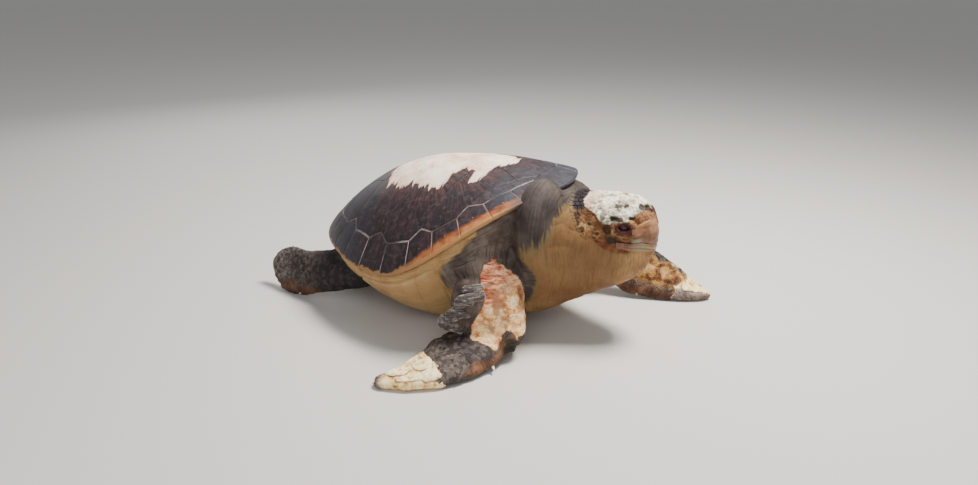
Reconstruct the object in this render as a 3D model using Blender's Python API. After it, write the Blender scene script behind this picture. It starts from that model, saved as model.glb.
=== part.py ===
# Loggerhead turtle, life size, lying on its plastron with the head up and the flippers spread.
# +X is forward, +Y is the animal's left, +Z is up. The origin is on the floor under the
# middle of the shell. Lengths are in metres.
import math

import bmesh
import bpy
import numpy as np
from mathutils import Matrix, Vector

# Shell
SHELL_LENGTH = 0.88
SHELL_WIDTH = 0.70
SHELL_CREST = 0.362  # heights are in the shell's own frame, before it is pitched and lifted
RIM_FRONT, RIM_MIDDLE, RIM_REAR = 0.288, 0.088, 0.120
CREST_AT = 0.06  # where the crest is, as a share of the length forward of the middle
PITCH = math.radians(6.0)  # front up
LIFT = 0.118
SCUTE_THICK = 0.005
BRIM_THICK = 0.014
BONE_GAP = 0.0026  # between the curved facets of the scutes and of the trunk
SEAM = 0.0007  # half of the gap between two scutes
INNER_RING = 0.85  # where marginals meet costals, as a share of the way out to the rim
COSTAL_TIP = 0.80  # where a seam between two costals reaches the marginals
HUB = Vector((0.02, 0.0))  # centre of the shell's plan

# Belly
PLASTRON_THICK = 0.008
GAP = 0.0006

SEAM_STEPS = 0.062  # longest edge in a scute's outline
RIM_SIDES = 16  # facets of the trunk along each side
FLAT_FRONT, FLAT_REAR = 0.42, 0.26  # how far out the belly's flat reaches, as a share of the rim

# Head
EYE_RADIUS = 0.0165
EYE_AT = (0.587, 0.0650, 0.358)
MOUTH_AT, MOUTH_TILT = (0.575, 0, 0.3175), math.radians(5)
BEAK_BACK = 0.048  # how far in front of the mouth's corner the horny beak starts
MOUTH_GAP = 0.0005

COLOURS = {
    "scute": (0.10, 0.06, 0.055, 0.45),
    "plastron": (0.62, 0.45, 0.22, 0.6),
    "skin": (0.28, 0.22, 0.18, 0.7),
    "beak": (0.42, 0.25, 0.15, 0.45),
    "eye": (0.08, 0.01, 0.01, 0.15),
    "claw": (0.75, 0.66, 0.50, 0.5),
}


def clear_scene():
    for obj in list(bpy.data.objects):
        bpy.data.objects.remove(obj)


def material(name):
    found = bpy.data.materials.get(name)
    if found:
        return found
    red, green, blue, rough = COLOURS[name]
    made = bpy.data.materials.new(name)
    made.use_nodes = True
    shader = made.node_tree.nodes["Principled BSDF"]
    shader.inputs["Base Color"].default_value = (red, green, blue, 1)
    shader.inputs["Roughness"].default_value = rough
    return made


def smooth(t):
    t = np.clip(t, 0, 1)
    return t * t * (3 - 2 * t)


# ---------- the shell's curved surface ----------


def half_width(u):
    """Half of the shell's width at u, from -0.5 at the rear tip to 0.5 at the nuchal."""
    ahead = np.clip((u - CREST_AT) / (0.5 - CREST_AT), 0, 1)
    behind = np.clip((CREST_AT - u) / (0.5 + CREST_AT), 0, 1)
    return SHELL_WIDTH / 2 * np.sqrt(1 - ahead**2.1) * (1 - behind**1.8) ** 0.72


def rim_height(u):
    ahead = smooth((u + 0.05) / 0.55)
    behind = smooth((-0.05 - u) / 0.45)
    return RIM_MIDDLE + (RIM_FRONT - RIM_MIDDLE) * ahead + (RIM_REAR - RIM_MIDDLE) * behind


def crest_height(u):
    ahead = np.clip((u - CREST_AT) / (0.5 - CREST_AT), 0, 1)
    behind = np.clip((CREST_AT - u) / (0.5 + CREST_AT), 0, 1)
    front = RIM_FRONT + (SHELL_CREST - RIM_FRONT) * (1 - ahead**2.3)
    rear = RIM_REAR + (SHELL_CREST - RIM_REAR) * (1 - behind**2.0)
    return np.where(u > CREST_AT, front, rear)


def shell_height(x, y):
    """Height of the shell's outer face over a point of the plan."""
    u = np.clip(x / SHELL_LENGTH, -0.5, 0.5)
    across = np.clip(np.abs(y) / np.maximum(half_width(u), 1e-5), 0, 1)
    rim = rim_height(u)
    return rim + np.maximum(crest_height(u) - rim, 0) * (1 - across**2.05)


def rim_table():
    """The rim from front to rear: its share of the way round, and its plan."""
    u = 0.5 * np.cos(np.linspace(0, math.pi, 400))
    points = np.stack([u * SHELL_LENGTH, half_width(u), rim_height(u)], axis=1)
    steps = np.linalg.norm(np.diff(points, axis=0), axis=1)
    along = np.concatenate([[0], np.cumsum(steps)])
    return along / along[-1], points[:, :2]


RIM_SHARE, RIM_PLAN = rim_table()


def ring(s, reach, side):
    """Plan point at s, from 0 in front to 1 at the rear, a share of the way from hub to rim."""
    s, reach, side = np.broadcast_arrays(np.asarray(s, float), reach, side)
    x = np.interp(s, RIM_SHARE, RIM_PLAN[:, 0])
    y = np.interp(s, RIM_SHARE, RIM_PLAN[:, 1]) * side
    return np.stack([HUB.x + (x - HUB.x) * reach, y * reach], axis=-1)


def reach_of(plan):
    """How far out a plan point is, from 0 at the hub to 1 at the rim."""
    u = np.clip(plan[:, 0] / SHELL_LENGTH, -0.499, 0.499)
    low, high = np.zeros(len(plan)), np.full(len(plan), 3.0)
    for _ in range(30):
        middle = (low + high) / 2
        x = HUB.x + (plan[:, 0] - HUB.x) * middle
        y = plan[:, 1] * middle
        u = x / SHELL_LENGTH
        inside = (np.abs(u) < 0.5) & (np.abs(y) < half_width(np.clip(u, -0.5, 0.5)))
        low, high = np.where(inside, middle, low), np.where(inside, high, middle)
    return np.clip(1 / np.maximum(low, 1e-6), 0, 1)


def shell_normals(plan):
    """Outward normals, taken a little way in from the rim, where the slope is settled."""
    inner = np.array(HUB) + (plan - np.array(HUB)) * 0.97
    step = 0.004
    x, y = inner[:, 0], inner[:, 1]
    slope_x = (shell_height(x + step, y) - shell_height(x - step, y)) / (2 * step)
    slope_y = (shell_height(x, y + step) - shell_height(x, y - step)) / (2 * step)
    normals = np.stack([-slope_x, -slope_y, np.ones(len(plan))], axis=1)
    return normals / np.linalg.norm(normals, axis=1, keepdims=True)


def scute_depth(plan):
    """A scute's thickness, which grows to the brim's at the rim."""
    edge = smooth((reach_of(plan) - INNER_RING) / (1 - INNER_RING))
    return SCUTE_THICK + (BRIM_THICK - SCUTE_THICK) * edge


def shell_points(plan, below):
    """Points under plan, a distance below the shell's outer face, on the pitched shell."""
    face = np.column_stack([plan, shell_height(plan[:, 0], plan[:, 1])])
    return settled(face - shell_normals(plan) * np.reshape(below, (-1, 1)))


def settled(points):
    """The shell's own frame pitched up in front and lifted on to the belly."""
    x, y, z = points.T
    sine, cosine = math.sin(PITCH), math.cos(PITCH)
    return np.column_stack([x * cosine - z * sine, y, x * sine + z * cosine + LIFT])


# ---------- mesh helpers ----------


def add_object(name, points, faces, colour):
    mesh = bpy.data.meshes.new(name)
    mesh.from_pydata([tuple(map(float, p)) for p in points], [], faces)
    bm = bmesh.new()
    bm.from_mesh(mesh)
    bmesh.ops.remove_doubles(bm, verts=bm.verts, dist=1e-5)
    bmesh.ops.triangulate(bm, faces=bm.faces)
    bmesh.ops.recalc_face_normals(bm, faces=bm.faces)
    bm.to_mesh(mesh)
    bm.free()
    obj = bpy.data.objects.new(name, mesh)
    obj.data.materials.append(material(colour))
    bpy.context.scene.collection.objects.link(obj)
    return obj


def solid_of_rings(name, rings, colour):
    """A closed solid through rings of equally many points, with a fan at each end."""
    count = len(rings[0])
    points = np.concatenate([*rings, [rings[0].mean(axis=0)], [rings[-1].mean(axis=0)]])
    first, last = len(points) - 2, len(points) - 1
    faces = []
    for k in range(count):
        after = (k + 1) % count
        for j in range(len(rings) - 1):
            low, high = j * count, (j + 1) * count
            faces.append((low + k, low + after, high + after, high + k))
        faces.append((first, after, k))
        top = (len(rings) - 1) * count
        faces.append((last, top + k, top + after))
    return add_object(name, points, faces, colour)


def hide(obj):
    obj.hide_render = True
    obj.display_type = "WIRE"
    return obj


def fattened(obj, by):
    """A hidden copy, grown outwards, that cuts a gap round the original."""
    copy = obj.copy()
    copy.data = obj.data.copy()
    copy.name = obj.name + "_room"
    bpy.context.scene.collection.objects.link(copy)
    bm = bmesh.new()
    bm.from_mesh(copy.data)
    bm.normal_update()
    for vertex in bm.verts:
        vertex.co += vertex.normal * by * min(vertex.calc_shell_factor(), 3.0)
    bm.to_mesh(copy.data)
    bm.free()
    return hide(copy)


def carve(obj, *cutters, operation="DIFFERENCE"):
    """Applies a Boolean with each cutter, and keeps the largest body that is left."""
    for cutter in cutters:
        cut = obj.modifiers.new(operation.title(), "BOOLEAN")
        cut.operation = operation
        cut.solver = "EXACT"
        cut.object = cutter
    bpy.context.view_layer.update()
    graph = bpy.context.evaluated_depsgraph_get()
    mesh = bpy.data.meshes.new_from_object(obj.evaluated_get(graph))
    obj.modifiers.clear()
    obj.data = mesh
    keep_largest(mesh)
    return obj


def keep_largest(mesh):
    bm = bmesh.new()
    bm.from_mesh(mesh)
    bmesh.ops.remove_doubles(bm, verts=bm.verts, dist=2e-5)
    bmesh.ops.dissolve_degenerate(bm, edges=bm.edges, dist=1e-5)
    left, bodies = set(bm.faces), []
    while left:
        body, front = set(), [left.pop()]
        while front:
            face = front.pop()
            body.add(face)
            near = {other for edge in face.edges for other in edge.link_faces} & left
            left -= near
            front.extend(near)
        bodies.append(body)
    biggest = max(bodies, key=lambda body: sum(face.calc_area() for face in body))
    spare = [face for body in bodies if body is not biggest for face in body]
    bmesh.ops.delete(bm, geom=spare, context="FACES")
    bm.to_mesh(mesh)
    bm.free()


def block(name, centre, size, pitch=0.0):
    """A hidden box cutter, pitched nose down about Y by an angle in radians."""
    bpy.ops.mesh.primitive_cube_add(size=1, location=centre, rotation=(0, pitch, 0))
    box = bpy.context.active_object
    box.name = name
    box.scale = size
    bpy.ops.object.transform_apply(location=False, rotation=True, scale=True)
    return hide(box)


# ---------- scutes ----------


def edge_points(start, end):
    """Points from start up to, but not including, end."""
    start, end = np.asarray(start, float), np.asarray(end, float)
    steps = max(1, math.ceil(np.linalg.norm(end - start) / SEAM_STEPS))
    return [start + (end - start) * k / steps for k in range(steps)]


def rim_points(start, end, side):
    """Points along the rim from s = start up to, but not including, end."""
    steps = max(2, math.ceil(abs(end - start) / 0.04))
    return [ring(start + (end - start) * k / steps, 1.0, side) for k in range(steps)]


def inset(outline, by):
    """The outline drawn in by a distance, at the mitre of its corners."""
    before, after = np.roll(outline, 1, axis=0), np.roll(outline, -1, axis=0)
    turn = np.sum(outline[:, 0] * after[:, 1] - after[:, 0] * outline[:, 1])
    along = [outline - before, after - outline]
    along = [a / np.linalg.norm(a, axis=1, keepdims=True) for a in along]
    inward = [np.stack([-a[:, 1], a[:, 0]], axis=1) * np.sign(turn) for a in along]
    mitre = inward[0] + inward[1]
    mitre /= np.linalg.norm(mitre, axis=1, keepdims=True)
    cosine = np.maximum(np.sum(mitre * inward[0], axis=1, keepdims=True), 0.4)
    return outline + mitre * by / cosine


def scute(name, outline):
    """One horny plate: its outline laid on the shell, with an inner face under it."""
    edge = inset(np.array(outline), SEAM)
    centre = edge.mean(axis=0)
    shares = (0.5, 1.0) if name.startswith("marginal") else (0.3, 0.65, 1.0)
    plans = [centre + (edge - centre) * share for share in shares]
    outer = [shell_points(plan, 0.0) for plan in plans]
    inner = [shell_points(plan, scute_depth(plan)) for plan in plans]
    return solid_of_rings(name, outer + inner[::-1], "scute")


def marginal_shares():
    """Where the seams between marginals meet the rim: twelve on a side, behind the nuchal."""
    front = [0.085 + 0.08 * k for k in range(9)]
    rear = [front[-1] + (1 - front[-1]) * k / 4 for k in range(1, 5)]
    return front + rear


MARGINALS = marginal_shares()
COSTAL_SEAMS = [(MARGINALS[k] + MARGINALS[k + 1]) / 2 for k in (2, 4, 6, 8)]
# Vertebral column: where its seams cross the midline, and its half-widths there.
COLUMN_SEAMS = [(0.245, 0.062), (0.090, 0.064), (-0.070, 0.060), (-0.215, 0.050)]
COLUMN_CORNERS = [(0.320, 0.112), (0.170, 0.118), (0.010, 0.114), (-0.145, 0.098)]


def column_front():
    """The vertebral column's front corner on the nuchal's inner edge."""
    corner = ring(MARGINALS[0], INNER_RING, 1)
    return corner[0], corner[1] * 0.6


def polygon(corners):
    points = []
    for start, end in zip(corners, corners[1:] + corners[:1]):
        points += edge_points(start, end)
    return points


def build_scutes():
    build_nuchal()
    build_vertebrals()
    for side, word in ((1, "left"), (-1, "right")):
        build_costals(side, word)
        build_marginals(side, word)


def build_nuchal():
    edge = MARGINALS[0]
    outline = rim_points(edge, 0, 1) + rim_points(0, edge, -1)
    right, left = ring(edge, 1, -1), ring(edge, 1, 1)
    inner_right, inner_left = ring(edge, INNER_RING, -1), ring(edge, INNER_RING, 1)
    outline += edge_points(right, inner_right) + edge_points(inner_right, inner_left)
    outline += edge_points(inner_left, left)
    scute("nuchal", outline)


def build_vertebrals():
    fronts = [column_front(), *COLUMN_SEAMS]
    for k in range(4):
        (x0, y0), (x1, y1), (x2, y2) = fronts[k], COLUMN_CORNERS[k], fronts[k + 1]
        corners = [(x0, y0), (x0, -y0), (x1, -y1), (x2, -y2), (x2, y2), (x1, y1)]
        scute(f"vertebral_{k + 1}", polygon(corners))
    x, y = fronts[4]
    right = [ring(share, INNER_RING, -1) for share in MARGINALS[10:12]]
    left = [ring(share, INNER_RING, 1) for share in MARGINALS[11:9:-1]]
    scute("vertebral_5", polygon([(x, y), (x, -y), *right, ring(1.0, INNER_RING, 1), *left]))


def build_costals(side, word):
    def column(point):
        return np.array([point[0], point[1] * side])

    def inner(share, reach=INNER_RING):
        return ring(share, reach, side)

    seams = [column(point) for point in COLUMN_SEAMS]
    corners = [column(point) for point in COLUMN_CORNERS]
    tips = [inner(share, COSTAL_TIP) for share in COSTAL_SEAMS]
    first = [column(column_front()), corners[0], tips[0], *map(inner, MARGINALS[2::-1])]
    scute(f"costal_{word}_1", polygon(first))
    for k in range(1, 4):
        between = [MARGINALS[2 * k + 2], MARGINALS[2 * k + 1]]
        outline = [corners[k - 1], seams[k - 1], corners[k], tips[k], *map(inner, between), tips[k - 1]]
        scute(f"costal_{word}_{k + 1}", polygon(outline))
    last = [corners[3], seams[3], inner(MARGINALS[10]), inner(MARGINALS[9]), tips[3]]
    scute(f"costal_{word}_5", polygon(last))


def build_marginals(side, word):
    for k in range(12):
        start, end = MARGINALS[k], MARGINALS[k + 1]
        outline = rim_points(start, end, side)
        outline += edge_points(ring(end, 1, side), ring(end, INNER_RING, side))
        inner = [ring(end, INNER_RING, side)]
        middle = (start + end) / 2
        if middle in COSTAL_SEAMS:
            inner.append(ring(middle, COSTAL_TIP, side))
        inner.append(ring(start, INNER_RING, side))
        for a, b in zip(inner, inner[1:]):
            outline += edge_points(a, b)
        outline += edge_points(ring(start, INNER_RING, side), ring(start, 1, side))
        scute(f"marginal_{word}_{k + 1}", outline)


# ---------- trunk and plastron ----------


def round_the_rim():
    """s and side at each step round the rim: from the front by the left to the rear, and back."""
    left = np.arange(RIM_SIDES + 1) / RIM_SIDES
    s = np.concatenate([left, left[-2:0:-1]])
    side = np.where(np.arange(len(s)) <= RIM_SIDES, 1, -1)
    return s, side


def belly(s, side, q):
    """The body's under side, from q = 0 under the brim to q = 1 where it meets the floor."""
    height = rim_height(ring(s, 1.0, side)[:, 0] / SHELL_LENGTH)
    rim = settled(np.column_stack([ring(s, 0.965, side), height]))
    top = rim[:, 2] - BRIM_THICK - 0.006
    flat = FLAT_FRONT + (FLAT_REAR - FLAT_FRONT) * smooth((s - 0.2) / 0.6)
    turn = q * math.pi / 2
    inward = flat + (1 - flat) * np.cos(turn) ** 1.4
    height = top * (1 - np.sin(turn) ** 1.4)
    hub = np.array([HUB.x, HUB.y])
    return np.column_stack([hub + (rim[:, :2] - hub) * np.reshape(inward, (-1, 1)), height])


def grid_normals(rings):
    """Outward unit normals on rings that run from the brim down to the floor."""
    grid = np.array(rings)
    along = np.roll(grid, -1, axis=1) - np.roll(grid, 1, axis=1)
    down = np.gradient(grid, axis=0)
    normals = np.cross(down, along)
    return normals / np.linalg.norm(normals, axis=2, keepdims=True)


def bridge_start(s):
    """Where the plastron starts below the brim: high on the bridges, low in front and behind."""
    ends = 0.52 - 0.14 * smooth((s - 0.4) / 0.4)
    return ends + (0.12 - ends) * smooth((s - 0.28) / 0.12) * smooth((0.78 - s) / 0.16)


def shell_under(extra):
    """Rings on the trunk's top, a little under the scutes."""
    s, side = round_the_rim()
    plans = [ring(s, reach, side) for reach in (0.2, 0.45, 0.68, 0.85, 0.965)]
    return [shell_points(plan, scute_depth(plan) + extra) for plan in plans]


def build_trunk():
    s, side = round_the_rim()
    rings = shell_under(BONE_GAP)
    rings += [belly(s, side, q) for q in (0.0, 0.2, 0.4, 0.6, 0.8, 1.0)]
    rings.append(belly(s, side, 1.0) * (0.4, 0.4, 1))
    return solid_of_rings("trunk", rings, "skin")


def plastron_plate(name, grow):
    """The plate under the belly. With grow it is the room that the plate needs."""
    s, side = round_the_rim()
    start = bridge_start(s) - grow * 15
    faces = [belly(s, side, start + (1 - start) * share) for share in (0.0, 0.25, 0.5, 0.75, 1.0)]
    normals = grid_normals(faces)
    normals[-1] = (0, 0, -1)
    outer = [face + normal * grow * 20 for face, normal in zip(faces, normals)]
    inner = [face - normal * (PLASTRON_THICK + grow) for face, normal in zip(faces, normals)]
    flat_out, flat_in = outer[-1] * (0.4, 0.4, 1), inner[-1] * (0.4, 0.4, 1)
    return solid_of_rings(name, [flat_out, *outer[::-1], *inner, flat_in], "plastron")


def shell_room():
    """The space that the scutes fill, as a cutter for everything soft."""
    s, side = round_the_rim()
    rings = shell_under(BONE_GAP)
    height = rim_height(ring(s, 1.0, side)[:, 0] / SHELL_LENGTH)
    edge = settled(np.column_stack([ring(s, 1.0, side), height]))
    hub = np.array([HUB.x, HUB.y, 0])
    rings.append(hub + (edge - hub) * (1.004, 1.004, 1) - (0, 0, BRIM_THICK + BONE_GAP))
    rings.append(hub + (edge - hub) * (1.03, 1.03, 1) - (0, 0, 0.002))
    rings.append(rings[-1] * (1, 1, 0) + (0, 0, 0.7))
    return hide(solid_of_rings("shell_room", rings, "skin"))


# ---------- lofted parts ----------


def through(values, count):
    """A smooth Catmull-Rom curve through rows of values, read at count places."""
    rows = np.asarray(values, float)
    padded = np.vstack([2 * rows[0] - rows[1], rows, 2 * rows[-1] - rows[-2]])
    at = np.linspace(0, len(rows) - 1, count)
    k = np.minimum(at.astype(int), len(rows) - 2)
    t = (at - k)[:, None]
    p0, p1, p2, p3 = (padded[k + j] for j in range(4))
    return 0.5 * (2 * p1 + (p2 - p0) * t + (2 * p0 - 5 * p1 + 4 * p2 - p3) * t**2
                  + (3 * p1 - p0 - 3 * p2 + p3) * t**3)


def upright_loft(name, stations, count, sides, colour="skin"):
    """A loft along X. A station is x, half-width, top, bottom, and how square its section is."""
    angle = np.linspace(0, 2 * math.pi, sides, endpoint=False)
    rings = []
    for x, wide, top, bottom, square in through(stations, count):
        across = np.sign(np.cos(angle)) * np.abs(np.cos(angle)) ** square * wide
        rise = np.sign(np.sin(angle)) * np.abs(np.sin(angle)) ** square
        height = (top + bottom) / 2 + rise * (top - bottom) / 2
        rings.append(np.column_stack([np.full(sides, x), across, height]))
    return solid_of_rings(name, rings, colour)


def limb_loft(name, stations, count, sides, lean):
    """A loft along any path. A station is x, y, z, half-chord, half-thickness and roll in degrees.

    The chord is square to the path and level where the roll is 0. lean moves the thickest
    part towards the leading edge."""
    rows = through(stations, count)
    path = rows[:, :3]
    forward = np.gradient(path, axis=0)
    forward /= np.linalg.norm(forward, axis=1, keepdims=True)
    level = np.cross(forward, (0, 0, 1))
    level /= np.linalg.norm(level, axis=1, keepdims=True)
    up = np.cross(level, forward)
    roll = np.radians(rows[:, 5])[:, None]
    chord = level * np.cos(roll) + up * np.sin(roll)
    thick = up * np.cos(roll) - level * np.sin(roll)
    angle = np.linspace(0, 2 * math.pi, sides, endpoint=False)
    rings = []
    for k in range(count):
        across = np.cos(angle)
        body = np.sin(angle) * (1 + lean * np.cos(angle))
        section = np.outer(across * rows[k, 3], chord[k]) + np.outer(body * rows[k, 4], thick[k])
        rings.append(path[k] + section)
    return solid_of_rings(name, rings, "skin")


NECK = [
    # x, half-width, top, bottom, squareness
    (0.20, 0.180, 0.360, 0.045, 0.90),
    (0.30, 0.190, 0.410, 0.030, 0.88),
    (0.37, 0.178, 0.432, 0.050, 0.86),
    (0.43, 0.152, 0.424, 0.084, 0.90),
    (0.50, 0.122, 0.400, 0.122, 0.95),
    (0.55, 0.100, 0.350, 0.148, 1.00),
    (0.60, 0.076, 0.305, 0.176, 1.00),
    (0.632, 0.050, 0.280, 0.205, 1.00),
    (0.648, 0.028, 0.262, 0.225, 1.00),
]
HEAD = [
    (0.405, 0.055, 0.392, 0.300, 0.90),
    (0.430, 0.078, 0.411, 0.272, 0.88),
    (0.465, 0.089, 0.423, 0.255, 0.86),
    (0.510, 0.093, 0.428, 0.246, 0.85),
    (0.555, 0.089, 0.430, 0.241, 0.84),
    (0.595, 0.078, 0.428, 0.239, 0.84),
    (0.630, 0.060, 0.419, 0.241, 0.84),
    (0.654, 0.041, 0.400, 0.250, 0.85),
    (0.668, 0.020, 0.365, 0.275, 0.90),
]
TAIL = [
    (-0.34, 0.055, 0.135, 0.020, 1.0),
    (-0.42, 0.040, 0.095, 0.008, 1.0),
    (-0.48, 0.022, 0.052, -0.002, 1.0),
    (-0.52, 0.008, 0.020, -0.002, 1.0),
]

# x, y, z, half-chord, half-thickness, roll in degrees; from the body to the tip
LIMBS = {
    "upper_arm_right": [
        (0.190, -0.140, 0.260, 0.105, 0.080, 6),
        (0.235, -0.205, 0.230, 0.106, 0.078, 6),
        (0.270, -0.248, 0.178, 0.100, 0.066, 6),
        (0.295, -0.270, 0.120, 0.090, 0.054, 4),
        (0.306, -0.284, 0.068, 0.080, 0.044, 4),
        (0.304, -0.294, 0.030, 0.066, 0.034, 4),
    ],
    "fore_flipper_right": [
        (0.300, -0.258, 0.068, 0.070, 0.036, 10),
        (0.274, -0.322, 0.050, 0.086, 0.032, 16),
        (0.246, -0.396, 0.040, 0.088, 0.028, 16),
        (0.214, -0.468, 0.031, 0.078, 0.022, 12),
        (0.168, -0.522, 0.022, 0.058, 0.018, 6),
        (0.118, -0.558, 0.015, 0.040, 0.014, 0),
        (0.088, -0.574, 0.011, 0.020, 0.009, 0),
    ],
    "upper_arm_left": [
        (0.195, 0.140, 0.250, 0.104, 0.080, -6),
        (0.255, 0.198, 0.222, 0.098, 0.074, -14),
        (0.320, 0.242, 0.186, 0.086, 0.060, -26),
        (0.385, 0.270, 0.156, 0.070, 0.046, -38),
        (0.440, 0.284, 0.130, 0.054, 0.032, -48),
    ],
    "fore_flipper_left": [
        (0.390, 0.278, 0.156, 0.052, 0.036, -46),
        (0.460, 0.292, 0.120, 0.068, 0.032, -58),
        (0.535, 0.302, 0.088, 0.086, 0.028, -62),
        (0.612, 0.316, 0.062, 0.074, 0.022, -56),
        (0.688, 0.334, 0.038, 0.052, 0.018, -42),
        (0.745, 0.352, 0.020, 0.032, 0.014, -20),
        (0.772, 0.362, 0.011, 0.012, 0.008, -8),
    ],
    "hind_flipper_right": [
        (-0.200, -0.140, 0.125, 0.064, 0.055, 50),
        (-0.300, -0.180, 0.109, 0.067, 0.046, 62),
        (-0.380, -0.188, 0.092, 0.070, 0.034, 68),
        (-0.450, -0.184, 0.074, 0.076, 0.024, 70),
        (-0.520, -0.172, 0.072, 0.074, 0.018, 70),
        (-0.575, -0.160, 0.072, 0.048, 0.013, 70),
        (-0.600, -0.154, 0.072, 0.018, 0.008, 70),
    ],
    "hind_flipper_left": [
        (-0.200, 0.140, 0.115, 0.064, 0.055, -30),
        (-0.300, 0.205, 0.080, 0.060, 0.044, -18),
        (-0.375, 0.238, 0.052, 0.060, 0.030, -10),
        (-0.445, 0.262, 0.034, 0.074, 0.022, -6),
        (-0.510, 0.280, 0.022, 0.072, 0.017, -3),
        (-0.560, 0.292, 0.016, 0.046, 0.012, 0),
        (-0.582, 0.297, 0.013, 0.018, 0.008, 0),
    ],
}
LIMB_SIDES = 10
# Swellings of the neck and shoulders: the part, then the centre and the three radii
SWELLINGS = [
    ("neck", (0.368, -0.122, 0.338), (0.072, 0.124, 0.144)),
    ("neck", (0.386, -0.085, 0.313), (0.057, 0.079, 0.093)),
    ("neck", (0.372, 0.100, 0.312), (0.080, 0.110, 0.108)),
    ("upper_arm_right", (0.184, -0.262, 0.238), (0.078, 0.056, 0.088)),
    ("upper_arm_left", (0.190, 0.258, 0.234), (0.076, 0.052, 0.080)),
    ("upper_arm_right", (0.234, -0.331, 0.152), (0.046, 0.035, 0.086)),
]
# Claws: the tip, and the direction in which each points
CLAWS = {
    "front_right": ((0.352, -0.392, 0.014), (0.75, -0.65, -0.10)),
    "front_left": ((0.560, 0.252, 0.012), (0.45, -0.80, -0.35)),
    "hind_right": ((-0.445, -0.222, 0.010), (-0.35, -0.85, -0.35)),
    "hind_left": ((-0.452, 0.345, 0.024), (-0.35, 0.90, -0.15)),
}
CLAW_LENGTH, CLAW_RADIUS = 0.030, 0.0065


def ellipsoid(name, centre, radii):
    bpy.ops.mesh.primitive_uv_sphere_add(segments=10, ring_count=6, radius=1, location=centre)
    obj = bpy.context.active_object
    obj.name = name
    obj.scale = radii
    bpy.ops.object.transform_apply(location=True, rotation=False, scale=True)
    return hide(obj)


def build_flesh():
    """Every soft part as a plain loft that overlaps its neighbours, to be parted later."""
    parts = {"trunk": build_trunk()}
    parts["head"] = upright_loft("head", HEAD, 10, 16)
    parts["neck"] = upright_loft("neck", NECK, 8, 14)
    for name, stations in LIMBS.items():
        lean = 0 if "hind" in name else 0.35 if "left" in name else -0.35
        count = len(stations) + 2 if "hind" in name else 2 * len(stations) - 2
        parts[name] = limb_loft(name, stations, count, LIMB_SIDES, lean)
    parts["tail"] = upright_loft("tail", TAIL, 4, 8)
    for name, centre, radii in SWELLINGS:
        swelling = ellipsoid("swelling", centre, radii)
        carve(parts[name], swelling, operation="UNION")
        bpy.data.objects.remove(swelling)
    return parts


def build_body():
    parts = build_flesh()
    rooms = {name: fattened(part, GAP) for name, part in parts.items()}
    floor = block("floor_cutter", (0.1, 0, -0.25), (2.4, 2.4, 0.5))
    shell, plate_room = shell_room(), hide(plastron_plate("plastron_room", 0.0005))
    plastron = plastron_plate("plastron", 0.0)
    rooms["plastron"] = fattened(plastron, GAP)
    carve(plastron, floor)
    carve(parts["trunk"], plate_room, floor)
    # Each part gives way to the ones before it in the dictionary.
    names = list(parts)
    for k, name in enumerate(names[1:], start=1):
        earlier = [rooms[other] for other in ["plastron", *names[:k]]]
        near = [room for room in earlier if boxes_meet(rooms[name], room)]
        carve(parts[name], *near)
        if name != "head":
            carve(parts[name], shell, floor)
    for spare in (floor, shell, plate_room, *rooms.values()):
        bpy.data.objects.remove(spare)
    return parts


def boxes_meet(one, other):
    low = [min(corner[k] for corner in one.bound_box) for k in range(3)]
    high = [max(corner[k] for corner in one.bound_box) for k in range(3)]
    other_low = [min(corner[k] for corner in other.bound_box) for k in range(3)]
    other_high = [max(corner[k] for corner in other.bound_box) for k in range(3)]
    return all(low[k] < other_high[k] and other_low[k] < high[k] for k in range(3))


def ball(name, centre, radius, colour):
    bpy.ops.mesh.primitive_uv_sphere_add(segments=10, ring_count=6, radius=radius, location=centre)
    obj = bpy.context.active_object
    bpy.ops.object.transform_apply(location=True, rotation=False, scale=False)
    obj.name = name
    obj.data.materials.append(material(colour))
    return obj


def mouth_block(name, back, sign):
    """A box in front of the mouth's corner, above the mouth's plane or below it."""
    turn = Matrix.Rotation(MOUTH_TILT, 3, "Y")
    offset = Vector((back + 0.1, 0, sign * (0.1 + MOUTH_GAP / 2)))
    return block(name, Vector(MOUTH_AT) + turn @ offset, (0.2, 0.4, 0.2), MOUTH_TILT)


def build_face(head):
    """Parts the beak and the lower jaw from the head, and sets the eyes."""
    beak_box, jaw_box = mouth_block("beak_box", BEAK_BACK, 1), mouth_block("jaw_box", 0, -1)
    for name, box in (("upper_beak", beak_box), ("lower_jaw", jaw_box)):
        piece = head.copy()
        piece.data = head.data.copy()
        piece.name = name
        bpy.context.scene.collection.objects.link(piece)
        carve(piece, box, operation="INTERSECT")
        piece.data.materials.clear()
        piece.data.materials.append(material("beak"))
    carve(head, fattened(beak_box, GAP), fattened(jaw_box, GAP))
    for side, word in ((1, "left"), (-1, "right")):
        centre = (EYE_AT[0], EYE_AT[1] * side, EYE_AT[2])
        ball("eye_" + word, centre, EYE_RADIUS, "eye")
        socket = hide(ball("socket", centre, EYE_RADIUS + 0.0006, "eye"))
        carve(head, socket)
        bpy.data.objects.remove(socket)
    for spare in [obj for obj in bpy.data.objects if "_box" in obj.name]:
        bpy.data.objects.remove(spare)


def cone(name, tip, direction, length, radius):
    """A claw: a six-sided cone, a little curved down."""
    forward = Vector(direction).normalized()
    across = forward.cross(Vector((0, 0, 1))).normalized()
    up = across.cross(forward)
    rings = []
    for share, wide in ((0, 1.0), (0.4, 0.85), (0.75, 0.5), (0.97, 0.12)):
        centre = Vector(tip) - forward * length * (1 - share) + up * 0.004 * (1 - share**2)
        turns = [k * math.pi / 3 for k in range(6)]
        spokes = [(across * math.cos(t) + up * math.sin(t)) * radius * wide for t in turns]
        rings.append(np.array([centre + spoke for spoke in spokes]))
    return solid_of_rings(name, rings, "claw")


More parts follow.
